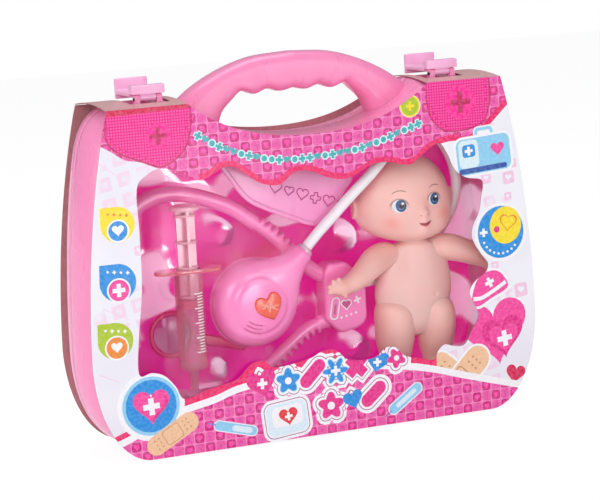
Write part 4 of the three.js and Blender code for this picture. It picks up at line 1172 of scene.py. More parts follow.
@dataclass
class SleeveArt:
    """The print of the sleeve's front, laid out on the flat card in millimetres."""

    wave: Rows = (
        (-152, 206), (-138, 197), (-130, 192), (-121, 186), (-112, 184), (-100, 179), (-90, 177), (-82, 172),
        (-75, 170), (-67, 172), (-60, 176), (-52, 175), (-42, 168), (-35, 163), (-26, 162), (-20, 164),
        (-14, 168), (-7, 169), (1, 167), (10, 163), (20, 161), (27, 162), (36, 166), (43, 169), (53, 168),
        (62, 166), (71, 168), (78, 174), (87, 177), (97, 178), (106, 176), (115, 181), (122, 186), (133, 196),
        (152, 212),
    )
    skirt: Rows = (
        (-152, 13.6), (-139.6, 18.2), (-129.2, 21.7), (-113, 28.5), (-95.6, 34.6), (-73, 39.1), (-56.5, 43.8),
        (-20, 48), (25, 47), (54.8, 43.3), (76, 38.5), (100, 31), (152, 16),
    )
    pocket_left: Rows = (
        (-130.3, 217), (-79.4, 217), (-78.4, 212), (-79.3, 201), (-83.4, 190), (-91, 183.4), (-99.5, 180.6),
        (-111.8, 185.4), (-125.7, 191.6), (-131.6, 199.4), (-131.5, 208),
    )
    pocket_right: Rows = (
        (78.9, 217), (121.8, 217), (122.5, 209), (122.3, 201.8), (118.6, 190.6), (112, 186.6), (105.3, 185.0),
        (96, 184.6), (88.5, 186.6), (81.5, 194.2), (79, 204.7),
    )
    arc: Rows = (
        (-74.2, 196.5), (-59.3, 187.8), (-41.6, 181.3), (-22.1, 177), (-2.1, 176.6), (24.8, 178.2), (45.5, 182.6),
        (72, 190.9),
    )

    def band(self, line: Array, down: float, level: float) -> Array:
        """The area between a line moved down and a level edge past the card."""
        return np.vstack([line - [0, down], [(152, level), (-152, level)]])

    def top_and_skirt(self) -> tuple[Array, Array]:
        """The header's wavy lower line, and the lower band's upper line."""
        return spline(self.wave, 6, False), evenly(spline(self.skirt, 6, False), 90, False)

    def header(self, art: Artwork) -> None:
        """The checked header with its hot border, stitched pockets, arc of beads and green dot."""
        wave, _ = self.top_and_skirt()
        over_window, beside = wave[(wave[:, 0] > -76) & (wave[:, 0] < 88)], wave[wave[:, 0] > 84]
        art.add(
            (self.band(wave, 0, 300), Ink.CHECK),
            (ribbon(over_window, -14.0, 3.6), Ink.HOT),
            (ribbon(beside, 0.0, 3.8), Ink.HOT),
        )
        pockets = ((self.pocket_left, (-99.5, 198.8), 8.0), (self.pocket_right, (101.8, 202.2), 10.6))
        for corners, middle, radius in pockets:
            lower = spline(corners[1:], 6, False)
            pocket = np.vstack([corners[:1], lower])
            art.add((grown(pocket, 1.0), Ink.WINE), (pocket, Ink.DOTS))
            art.dashes(inset(lower if area(pocket) > 0 else lower[::-1], 2.4, 2.4), Ink.WINE)
            art.add((disc(*middle, radius), Ink.VIVID), (plus(*middle, radius * 0.66, radius * 0.17), Ink.WINE))
        art.paint(np.array([(-131, 212.6), (-79, 214.0), (-79, 218), (-131, 218)]), Ink.CRIMSON)
        art.beads(spline(self.arc, 8, False), 31, 2.5)
        art.add(
            (disc(67, 202.6, 6.3), Ink.GREEN, 0.9),
            (disc(67, 202.6, 6.9), Ink.YELLOW),
            (disc(67, 202.6, 5.9), Ink.GREEN),
            (plus(67, 202.6, 3.0, 0.9), Ink.YELLOW),
            (np.array([(-160, 217.2), (160, 217.2), (160, 300), (-160, 300)]), Ink.SALMON),
        )

    def side_drops(self, art: Artwork) -> None:
        """Three drop-shaped badges down the left side."""
        rows = (
            (-128.5, 148.0, 10.8, Ink.YELLOW, (-128.4, 144.1, 6.0), Ink.BLUE, Ink.ORANGE),
            (-130.6, 112.8, 11.5, Ink.BLUE, (-130.3, 108.1, 6.5), Ink.ROSE, Ink.WHITE),
            (-134.5, 77.5, 11.2, Ink.GREEN, (-133.9, 73.2, 6.6), Ink.ORANGE, Ink.WHITE),
        )
        for number, (x, z, radius, ground, (dx, dz, dr), middle, mark) in enumerate(rows):
            sign = (heart(dx, dz, dr * 1.25), plus(dx, dz, dr * 0.62, dr * 0.2), heart(dx, dz, dr * 1.1))[number]
            art.add((drop(x, z, radius), ground), (disc(dx, dz, dr), middle, 1.0), (sign, Ink.WHITE))
            for step in range(4):
                spot = (x - radius * 0.52 + step * radius * 0.36, z + radius * (0.62 - 0.05 * step))
                art.paint(plus(*spot, 1.15, 0.42) if step % 2 else disc(*spot, 0.8, count=16), mark)

    def faint_marks(self, art: Artwork) -> None:
        """Pale pink tiles and fine slanting lines on the white ground."""
        tiles = ((118, 152, 7), (134, 151, 8), (137, 160, 6), (122, 95, 5), (140, 77, 9), (133, 139, 5))
        for x, z, size in tiles + ((-116, 131, 6), (-108, 60, 6)):
            art.add((rounded_box(x, z, size, size, size * 0.2, 0.1), Ink.FAINT), (heart(x, z, size * 0.55), Ink.PALE))
        for line in ((-143, 190, -128, 178), (-141, 98, -125, 89.5), (-146, 58, -134, 52), (-131, 40, -126, 30)):
            art.paint(ribbon(np.array(line, float).reshape(2, 2), -0.2, 0.2), Ink.FAINT)

    def right_side(self, art: Artwork) -> None:
        """A blue first-aid box, a blue and yellow disc, and a large heart with a nurse's cap over it."""
        lean = 0.07
        art.add(
            (rounded_box(117.5, 181.5, 13, 7, 2.4, lean), Ink.SKY, 1.0),
            (rounded_box(117.5, 181.2, 9, 3.6, 1.2, lean), Ink.WHITE),
            (rounded_box(117, 167.5, 38, 23, 4.5, lean), Ink.SKY, 1.6),
            (rounded_box(106.5, 168.5, 14, 18, 3.5, lean), Ink.ICE),
            (rounded_box(116.4, 158.4, 34, 3.4, 1.5, lean), Ink.NAVY),
            (rounded_box(106.5, 170.5, 9, 8, 2, lean), Ink.BLUE),
            (plus(106.5, 170.5, 2.8, 0.95, lean), Ink.WHITE),
            (heart(127, 170, 9.5, lean), Ink.ROSE),
            (disc(127, 116.3, 16.9, 0.97), Ink.BLUE, 2.2),
            (disc(130.6, 120.4, 12.1, 0.93), Ink.YELLOW),
            (heart(132.4, 121.5, 12.5, -0.15), Ink.ORANGE),
            (heart(132.4, 121.5, 10.3, -0.15), Ink.YELLOW),
            (disc(124.2, 118.2, 2.1, count=20), Ink.MAGENTA),
            (plus(114.8, 117, 2.7, 0.9), Ink.WHITE),
        )
        for turn in np.radians(205 + 14 * np.arange(9)):
            art.paint(disc(127 + 13.4 * np.cos(turn), 116.3 + 14.0 * np.sin(turn), 0.85, count=12), Ink.WHITE)
        cap = (
            (104.5, 73.5), (108.7, 69.6), (119, 74.2), (130.4, 79.8), (128.6, 86.5), (123.2, 91.4), (115.6, 91.2),
            (108.4, 86.4),
        )
        brim = spline(((105.6, 73.4), (112, 73.6), (121, 77.6), (129.8, 82.4)), 6, False)
        art.add(
            (heart(120.5, 50.5, 47, 0.12), Ink.ROSE, 2.2),
            (heart(126.0, 47.0, 30, 0.12), Ink.MAGENTA),
            (heart(126.6, 46.2, 21, 0.12), Ink.ROSE),
            (plus(127, 46.6, 5.2, 1.7, 0.12), Ink.WHITE),
            (evenly(spline(cap, 6), 48), Ink.ROSE, 1.8),
            (ribbon(brim, 0.0, 2.6), Ink.WHITE),
            (plus(117.6, 84.4, 3.3, 1.15, 0.4), Ink.WHITE),
        )

    def plasters(self, art: Artwork) -> None:
        """Two crossed sticking plasters with their pad, and two small shapes beside them."""
        for ends in (((80.5, 34.5), (108.5, 8.5)), ((81.0, 10.0), (106.5, 35.5))):
            art.add((capsule(*ends, 8.6), Ink.TAN, 1.4))
            near, way = np.array(ends[0]), np.array(ends[1]) - ends[0]
            across = np.array([-way[1], way[0]]) / np.linalg.norm(way)
            for share in (0.02, 0.14, 0.86, 0.98):
                for aside in (-3.4, 0.0, 3.4):
                    art.paint(disc(*(near + way * share + across * aside), 0.75, count=12), Ink.BROWN)
        art.add(
            (rounded_box(94.2, 22.4, 15.5, 15.5, 2.6, np.pi / 4), Ink.BROWN),
            (rounded_box(94.2, 22.4, 14.0, 14.0, 2.2, np.pi / 4), Ink.TAN),
            (heart(94.2, 22.0, 8.2), Ink.RED),
            (heart(133.5, 21.5, 14, -0.25), Ink.CRIMSON, 1.2),
            (drop(119.5, 10.5, 5.6), Ink.TAN, 1.0),
        )

    def skirt_band(self, art: Artwork) -> None:
        """The lower band: hot line, white line and check, and two capped tubes with a needle line each."""
        _, line = self.top_and_skirt()
        over = line[(line[:, 0] > -97) & (line[:, 0] < 78)]
        art.add(
            (np.vstack([over - [0, 3.6], [(over[-1, 0], 70), (over[0, 0], 70)]]), Ink.HOT),
            (ribbon(line[line[:, 0] < -90], -3.6, 0.0), Ink.HOT),
            (self.band(line, 3.6, -8), Ink.WHITE),
            (self.band(line, 8.2, -8), Ink.CHECK),
            (capsule((-72.0, 16.2), (-50.0, 10.0), 2.9), Ink.SKY, 0.6),
            (capsule((-61.5, 13.2), (-52.0, 10.6), 1.9), Ink.ICE),
            (ribbon(np.array([(-79, 18.6), (-74, 17)]), -0.3, 0.3), Ink.BLUE),
            (capsule((46.5, 10.6), (63.0, 22.0), 3.3), Ink.SKY, 0.7),
            (capsule((49.5, 12.6), (61.0, 20.6), 1.5), Ink.ICE),
            (ribbon(np.array([(40, 6.2), (44.5, 9.2)]), -0.3, 0.3), Ink.NAVY),
        )

    def badge(self, art: Artwork) -> None:
        """The round blue badge with a heart and cross, and the sticking plaster under it."""
        pad = spun(rounded_box(-102, 15.4, 11.5, 9.4, 1.6), -102, 15.4, 0.5)
        art.add(
            (disc(-114.8, 34.6, 21.6), Ink.WHITE),
            (disc(-114.8, 34.6, 18.4), Ink.SKY),
            (disc(-114.8, 34.6, 16.3), Ink.BLUE),
            (heart(-114.6, 33.6, 23.5), Ink.ROSE, 1.1),
            (heart(-113.6, 32.6, 19.5), Ink.MAGENTA),
            (heart(-114.6, 33.4, 18.0), Ink.ROSE),
            (plus(-114.6, 34.2, 5.3, 1.75, 0.05), Ink.WHITE),
            (capsule((-112.6, 9.6), (-91.4, 21.2), 6.4), Ink.TAN),
            (grown(pad, 0.4), Ink.BROWN),
            (pad, Ink.TAN),
        )
        for along in (-9.0, -12.0, 9.0, 12.0):
            for aside in (-3.0, 0.0, 3.0):
                spot = spun(np.array([[-102 + along, 15.4 + aside]]), -102, 15.4, 0.5)[0]
                art.paint(disc(*spot, 0.55, count=10), Ink.BROWN)

    def title(self, art: Artwork) -> None:
        """Two rows of rounded pink and blue toy shapes on a white plaque with dark outlines."""
        shapes = (
            (heart(-42.0, 38.2, 19.5, 0.2), Ink.MAGENTA),
            (lobed(-24.6, 38.4, 8.0, 5, 0.3), Ink.BLUE),
            (capsule((-12.6, 36.4), (-3.4, 45.4), 3.7), Ink.MAGENTA),
            (lobed(7.6, 40.6, 8.6, 6, 0.0, 0.3), Ink.BLUE),
            (plus(22.0, 41.8, 7.4, 3.0, np.pi / 4), Ink.MAGENTA),
            (heart(36.4, 42.0, 15.5, -0.3), Ink.BLUE),
            (lobed(49.8, 43.4, 6.2, 5, 0.8), Ink.MAGENTA),
            (lobed(3.4, 18.6, 8.6, 5, 0.3), Ink.MAGENTA),
            (heart(18.8, 20.0, 13.5, 0.25), Ink.BLUE),
            (capsule((28.4, 18.6), (37.2, 26.0), 3.8), Ink.MAGENTA),
        )
        plaque = rounded_box(-26.8, 14.8, 26.5, 20.0, 4.0, 0.1)
        art.paint(grown(plaque, 3.4), Ink.WHITE)
        for margin, colour in ((4.6, Ink.WHITE), (2.5, Ink.PLUM), (2.0, Ink.WHITE)):
            art.add(*((grown(shape, margin), colour) for shape, _ in shapes))
        art.add(
            (grown(plaque, 1.6), Ink.PLUM),
            (grown(plaque, 1.1), Ink.WHITE),
            (plaque, Ink.ICE),
            (rounded_box(-26.4, 16.4, 20.5, 13.0, 3.0, 0.1), Ink.WHITE),
            (heart(-25.6, 15.4, 12.5, 0.1), Ink.RED),
            (plus(-25.6, 15.8, 2.6, 0.85, 0.1), Ink.WHITE),
        )
        for shape, colour in shapes:
            art.add((grown(shape, 0.5), Ink.ROSE if colour is Ink.MAGENTA else Ink.SKY), (shape, colour))
        for x, z, radius in ((-24.6, 38.4, 2.3), (3.4, 18.6, 2.5), (49.8, 43.4, 1.8)):
            art.paint(disc(x, z, radius, count=24), Ink.WHITE)
        for x, z, reach in ((-42.0, 38.8, 3.4), (7.6, 40.6, 3.2), (36.4, 42.4, 2.8)):
            art.paint(plus(x, z, reach, reach * 0.32), Ink.WHITE)

    def front(self) -> Artwork:
        """All of the front's print, in the order it is painted."""
        art = Artwork()
        for part in (
            self.faint_marks, self.header, self.side_drops, self.right_side, self.plasters, self.skirt_band,
            self.badge, self.title,
        ):
            part(art)
        return art

    def rear(self) -> Artwork:
        """The back's print: checked header and band, a framed white panel and two rows of discs."""
        art = Artwork()
        wave, line = self.top_and_skirt()
        art.add(
            (self.band(wave, 0, 300), Ink.CHECK),
            (ribbon(wave, -3.6, 0.0), Ink.HOT),
            (ribbon(line, -3.6, 0.0), Ink.HOT),
            (self.band(line, 8.2, -8), Ink.CHECK),
            (rounded_box(0, 106, 236, 92, 12), Ink.FAINT),
            (rounded_box(0, 106, 232, 88, 10.5), Ink.WHITE),
        )
        inks = (Ink.YELLOW, Ink.BLUE, Ink.GREEN, Ink.ROSE, Ink.ORANGE)
        for number in range(10):
            x, z = -88 + 44 * (number % 5), 126 - 42 * (number // 5)
            art.add(
                (disc(x, z, 16.5), inks[(number * 2) % 5]),
                (disc(x, z, 11.0), inks[(number * 2 + 3) % 5], 1.2),
                (heart(x, z, 12.0) if number % 2 else plus(x, z, 6.0, 2.0), Ink.WHITE),
            )
        art.beads(spline(self.arc, 8, False), 31, 2.5)
        return art


@dataclass
class CardSleeve:
    """The printed card sleeve: a front with two strips over the shoulders, and a back."""

    art: SleeveArt = field(default_factory=SleeveArt)
    thickness: float = 0.6
    half_width: float = 150.0
    top: float = 216.2
    bottom: float = 1.0
    half_depth: float = 33.0
    bridge_rise: float = 2.4
    past_edge: float = 170.0
    corner_start: float = 0.78
    crests: tuple[float, float] = (0.873, 0.53)
    curves: Rows = (
        (0.9, 0.009, 0.993, 0.125, 1, 0.283),
        (0.997, 0.506, 0.96, 0.762, 0.873, 1),
    )
    dip: tuple[float, ...] = (0.4, 0.925, 0.24, 0.883, 0, 0.883)
    latch: tuple[float, float, float] = (LATCH_X, 12.8, 19.5)
    window_shares: Rows = (
        (-0.667, 0.828), (-0.6, 0.819), (-0.5, 0.786), (-0.447, 0.796), (-0.393, 0.814), (-0.34, 0.809),
        (-0.28, 0.777), (-0.22, 0.754), (-0.153, 0.749), (-0.093, 0.777), (-0.04, 0.782), (0.007, 0.772),
        (0.067, 0.754), (0.133, 0.745), (0.187, 0.754), (0.253, 0.777), (0.327, 0.782), (0.387, 0.772),
        (0.44, 0.768), (0.493, 0.791), (0.54, 0.814), (0.58, 0.819), (0.613, 0.782), (0.64, 0.74),
        (0.693, 0.712), (0.767, 0.698), (0.76, 0.648), (0.747, 0.606), (0.713, 0.56), (0.713, 0.523),
        (0.747, 0.481), (0.78, 0.449), (0.767, 0.421), (0.72, 0.402), (0.687, 0.37), (0.707, 0.333),
        (0.727, 0.296), (0.693, 0.254), (0.653, 0.213), (0.6, 0.213), (0.56, 0.222), (0.527, 0.204),
        (0.507, 0.18), (0.44, 0.19), (0.373, 0.204), (0.333, 0.231), (0.287, 0.236), (0.24, 0.213),
        (0.187, 0.208), (0.107, 0.217), (0.053, 0.25), (-0.007, 0.25), (-0.053, 0.236), (-0.12, 0.227),
        (-0.22, 0.222), (-0.267, 0.245), (-0.32, 0.241), (-0.367, 0.213), (-0.4, 0.199), (-0.507, 0.185),
        (-0.62, 0.167), (-0.653, 0.204), (-0.7, 0.241), (-0.753, 0.254), (-0.807, 0.254), (-0.8, 0.352),
        (-0.773, 0.49), (-0.767, 0.648), (-0.767, 0.777), (-0.72, 0.814),
    )

    def outline(self, bridges: bool) -> Array:
        """The card's outline on the flat, with the shoulder strips unfolded above the top crease."""
        scale, shift = np.array([self.half_width, self.top - self.bottom]), np.array([0.0, self.bottom])
        start = np.array([self.corner_start, 0.0])
        places = [np.linspace([0.0, 0.0], start, 3)]
        for shares in self.curves:
            places.append(bezier(places[-1][-1], shares, 24))
        outer, inner = (share * self.half_width for share in self.crests)
        crest = np.array([self.crests[1], 1.0])
        dip = bezier(crest, self.dip, 24)
        right = np.vstack(places) * scale + shift
        if bridges:
            end = self.top + 2 * self.half_depth
            x, half, front = self.latch
            fold = self.top + self.half_depth - front
            strip = [(outer, end), (x + half, end), (x + half, fold), (x - half, fold), (x - half, end), (inner, end)]
            right = np.vstack([right, strip])
        return both_sides(np.vstack([right, [crest * scale + shift], dip * scale + shift]))

    def window(self) -> Array:
        """The window's wavy edge: a closed Catmull-Rom curve."""
        return spline(self.window_shares, 5) * [self.half_width, self.top]

    def folded(self, flat: Array, under: bool) -> Array:
        """Folds the flat card: above the crease, y runs back and z = top + rise (1 - (y / depth)^2).

        Args:
            flat: N x 2 places on the flat card.
            under: whether this is the inner face.

        Returns:
            N x 3 places.
        """
        x, s = flat[:, 0], flat[:, 1]
        back = np.clip(s - self.top, 0.0, None)
        t = self.thickness if under else 0.0
        crest = self.top + self.bridge_rise * (1 - ((back - self.half_depth) / self.half_depth) ** 2)
        y = -self.half_depth + back + t * (1 - np.clip(back / 8.0, 0, 1))
        z = np.where(back > 0, crest - t, s - t * np.clip((s - self.top + 8.0) / 8.0, 0, 1))
        return columns(x, y, z)

    def flat_back(self, flat: Array, under: bool) -> Array:
        """Places the rear card, whose print faces +Y."""
        y = self.half_depth - (self.thickness if under else 0.0)
        return columns(-flat[:, 0], np.full(len(flat), y), flat[:, 1])

    def sheet(self, art: Artwork, outline: Array, window: Array | None, place: Placing) -> tuple[Form, Array]:
        """Cuts a sheet into triangles along every edge of its print and closes it with an inner face.

        Args:
            art: the print.
            outline: the sheet's outline.
            window: a hole, or None.
            place: folded or flat_back.

        Returns:
            The closed sheet, and the material's number for each triangle: the inks, then the board.
        """
        loops = [counter(loop) for loop in (outline, window) if loop is not None]
        first_shape = len(loops)
        loops += [shape for shape, _ in art.shapes]
        starts = np.cumsum([0] + [len(loop) for loop in loops])
        corners = np.vstack(loops)
        rings = [list(range(a, b)) for a, b in zip(starts[:-1], starts[1:])]
        folds = self.top + np.concatenate([[0.0], np.linspace(4.0, 62.0, 12)])
        ends = np.stack([columns(np.full(len(folds), s * self.past_edge), folds) for s in (-1.0, 1.0)], axis=1)
        edges = (len(corners) + np.arange(2 * len(folds)).reshape(-1, 2)).tolist()
        corners = np.vstack([corners, ends.reshape(-1, 2)])
        made = delaunay_2d_cdt([Vector(c) for c in corners.tolist()], edges, rings, 0, 1e-5, True)
        flat, faces, owners = np.array([tuple(v) for v in made[0]]), made[2], made[5]
        kept = [i for i, own in enumerate(owners) if 0 in own and not (window is not None and 1 in own)]
        inks = list(Ink)
        tops = [max(owners[i]) - first_shape for i in kept]
        colours = [inks.index(art.shapes[top][1]) if top >= 0 else 0 for top in tops]
        triangles = np.array([faces[i] for i in kept])
        used, compact = np.unique(triangles, return_inverse=True)
        triangles, flat = compact.reshape(-1, 3), flat[used]
        count = len(flat)
        sides = np.concatenate([triangles[:, [0, 1]], triangles[:, [1, 2]], triangles[:, [2, 0]]])
        keys, where, times = np.unique(np.sort(sides, axis=1), axis=0, return_index=True, return_counts=True)
        rim = sides[where[times == 1]]
        walls = columns(rim[:, 1], rim[:, 0], rim[:, 0] + count, rim[:, 1] + count)
        points = np.vstack([place(flat, False), place(flat, True)])
        under = triangles[:, ::-1] + count
        numbers = np.concatenate([colours, np.full(len(under) + len(walls), len(inks))])
        return Form(points, triangles.tolist() + under.tolist() + walls.tolist()), numbers

    def build(self) -> None:
        """Makes the front and the back of the sleeve."""
        inks = [colour.material() for colour in Ink] + [GreyBoard("card_inside", "#BA8688", "#A06C70").material()]
        form, numbers = self.sheet(self.art.front(), self.outline(True), self.window(), self.folded)
        make_piece("sleeve_front_card", form, inks, "front_card", "lid", chosen=numbers)
        crop = self.outline(False)
        crop[:, 1] = np.minimum(crop[:, 1], self.top - self.thickness - 0.3)
        form, numbers = self.sheet(self.art.rear(), crop, None, self.flat_back)
        make_piece("sleeve_back_card", form, inks, "back_card", chosen=numbers)


# ---- window, backing card and tray


@dataclass
class Insert:
    """The clear window pane, the magenta backing card and the clear blister tray."""

    outline: CaseOutline = field(default_factory=CaseOutline)
    seats: Rows = (
        (75.0, 77.2, 8.4, 7.8), (28.5, 80.7, 8.4, 12.3), (-36.5, 86.2, 13.4, -4.7), (-80.0, 97.1, 4.6, -5.7),
        (-57.0, 62.0, 3.5, 3.3), (-9.0, 155.0, 8.4, -9.5),
    )
    domes: Rows = (
        (28.1, 120.1, 10.0, -9.3), (-52.6, 130.6, 8.4, -7.3), (36.1, 46.6, 7.6, -9.3), (-61.0, 44.6, 8.0, -6.2),
    )
    floor: float = 19.0
    mouth: float = 2.0
    taper: float = 0.78

    def pane(self) -> Form:
        """A plate that follows the case outline behind the frame."""
        return plate(self.outline.moved_in(19.9, 10.8), -29.4, -28.6, 0.15, 2)

    def backing(self) -> Form:
        """A thin plate on the rear wall."""
        return plate(self.outline.moved_in(19.6, 10.8), 28.8, 29.4, 0.1, 1)

    def tray(self) -> Form:
        """Concentric rings of the outline; depth = floor, less the largest of the seats' smooth rises.

        The rim lies at the mouth's depth and drops to the floor over 3 mm of draft. A seat rises by
        1 - s^2 (3 - 2s), where s runs from its top radius to its root.
        """
        shrink = np.concatenate([np.linspace(0.0, 5.0, 4), [5.6, 6.2, 7.0, 7.8, 8.4]])
        outer = [self.outline.moved_in(8.2 + s, 8.2 + s) for s in shrink]
        centre = np.array([0.0, 104.0])
        last = evenly(outer[-1], len(outer[-1]))
        last = np.roll(last, -int(np.argmin(np.linalg.norm(last - outer[-1][0], axis=1))), axis=0)
        shares = np.linspace(1.0, 0.0, 62)[1:-1]
        rings = outer + [centre + (last - centre) * k for k in shares]
        flat = np.stack(rings)
        wall = np.clip((np.concatenate([shrink, np.full(len(shares), 9.0)]) - 5.0) / 3.2, 0, 1)
        depth = self.mouth + (self.floor - self.mouth) * (wall**2 * (3 - 2 * wall))[:, None]
        depth = np.broadcast_to(depth, flat.shape[:2]).copy()
        for x, z, radius, top in self.seats + self.domes:
            reach = np.hypot(flat[..., 0] - x, flat[..., 1] - z)
            s = np.clip((reach - radius * 0.86) / (radius / self.taper + 2.0 - radius * 0.86), 0, 1)
            depth = np.minimum(depth, self.floor - (self.floor - top) * (1 - s * s * (3 - 2 * s)))
        points = np.stack([flat[..., 0], depth, flat[..., 1]], axis=-1)
        form = skin(points, caps=False)
        base = (len(points) - 1) * flat.shape[1]
        form.points = np.vstack([form.points, [[centre[0], self.floor, centre[1]]]])
        ring = np.arange(flat.shape[1])
        fan = columns(base + ring, base + np.roll(ring, -1), np.full_like(ring, len(form.points) - 1))
        form.faces += fan.tolist()
        return form

    def build(self) -> None:
        """Makes the three pieces."""
        clear = ClearSheet("window_film", "#F2F2FA", 0.005, 0.2, 0.008)
        make_piece("window_film", self.pane(), clear.material(), "window_pane", "lid")
        board = MagentaBoard("backing_magenta").material()
        make_piece("backing_card_print", self.backing(), board, "backing_card")
        # The last number is the share of the whitish patches, a painted reflection with a painted glow.
        film = ClearSheet("blister_film", "#F8EAF6", 0.003, 0.45, 0.006, 0.16, 1.0, 0.36)
        tray = make_piece("blister_tray_formed", self.tray(), film.material(), smooth=Smooth.ROUND, tidy=False)
        modify(tray, "SOLIDIFY", thickness=0.6 * MM, offset=-1.0)
        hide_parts("blister_tray")


# ---- forms for the contents


def ball(centre: Sequence[float], radii: Sequence[float], rows: int = 18, sides: int = 28) -> Form:
    """An ellipsoid: rings of radius cos a at height sin a, scaled by three radii."""
    a = np.linspace(-np.pi / 2 + 0.06, np.pi / 2 - 0.06, rows)
    angle = circle(sides)
    across, up = np.cos(a)[:, None], np.repeat(np.sin(a)[:, None], sides, axis=1)
    points = np.stack([across * np.cos(angle), across * np.sin(angle), up], axis=-1)
    return skin(points * np.asarray(radii, float) + np.asarray(centre, float))


def stacked(table: Table, per_span: int = 8, sides: int = 96) -> Form:
    """A body of level rings whose size follows a table.

    Args:
        table: rows of height, x, y, half width, front depth and back depth, from one end to the other.
        per_span: rings from one row to the next, on a Catmull-Rom curve.
        sides: points in a ring.

    Returns:
        The closed body: x = centre + half width cos a, y = centre - depth sin a.
    """
    rows = spline(table, per_span, False)
    z, x, y = rows[:, 0:1], rows[:, 1:2], rows[:, 2:3]
    half, front, back = (np.maximum(rows[:, k : k + 1], 0.3) for k in (3, 4, 5))
    angle = circle(sides)[None, :]
    c, s = np.cos(angle), np.sin(angle)
    points = np.stack([x + half * c, y - np.where(s > 0, front, back) * s, np.repeat(z, sides, axis=1)], axis=-1)
    return skin(points)


def pushed(form: Form, bumps: Table, middle: float) -> Form:
    """Pushes the front of a form towards -Y by a sum of bumps A exp(-(dx^2 + dz^2) / s^2).

    Args:
        form: the body.
        bumps: x, z, spread and height of each bump, in millimetres.
        middle: only points in front of this y are moved, more the further they stand out.

    Returns:
        The moved form.
    """
    p = form.points.copy()
    share = np.clip((middle - p[:, 1]) / 8.0, 0, 1)
    for x, z, spread, height in bumps:
        p[:, 1] -= share * height * np.exp(-((p[:, 0] - x) ** 2 + (p[:, 2] - z) ** 2) / spread**2)
    return Form(p, form.faces)


def bead(line: Array, y: float, radius: float) -> Form:
    """A thin round bead along a closed flat outline at depth y."""
    along = along_loop(line)
    side = columns(along[:, 1], np.zeros(len(line)), -along[:, 0])
    angle = circle(8)[None, :, None]
    middle = columns(line[:, 0], np.full(len(line), y), line[:, 1])[:, None]
    return skin(middle + radius * (side[:, None] * np.cos(angle) + REARWARD * np.sin(angle)), over=True)


def turned_ring(x: float, z: float, middle: float, half: float, depth: float, y: float) -> Form:
    """A ring about Y with an oval section."""
    a = circle(72)[:, None]
    b = circle(20)[None, :]
    reach = middle + half * np.cos(b)
    points = np.stack([x + reach * np.cos(a), y + depth * np.sin(b) + 0 * a, z + reach * np.sin(a)], axis=-1)
    return skin(points, over=True)


# ---- doll


@dataclass(frozen=True)
class Skin:
    """Soft matt vinyl in a skin tone, warmer in patches at random."""

    name: str
    colour: str = "#F6C1B8"
    warm: str = "#ECA69E"

    def wires(self) -> tuple[Wiring, NodeSocket]:
        """The wiring with the surface set, and the skin's colour: two tones blended by noise."""
        w = Wiring(self.name)
        cloud = w.speckle(26.0, 2.0)
        colour = w.mix(cloud.ramp(0.35, 0.75) * 0.35, ink(self.colour), ink(self.warm))
        w.surface(
            Base_Color=colour,
            Roughness=cloud * 0.12 + 0.36,
            Coat_Weight=0.12,
            Coat_Roughness=0.3,
            Subsurface_Weight=0.35,
            Subsurface_Radius=(0.006, 0.0022, 0.0014),
            Subsurface_Scale=1.0,
            Normal=w.relief(w.speckle(0.8, 2.0) + w.speckle(9.0, 1.0) * 3.0, 0.015),
        )
        return w, colour

    def material(self) -> Material:
        """The plain skin."""
        return self.wires()[0].material


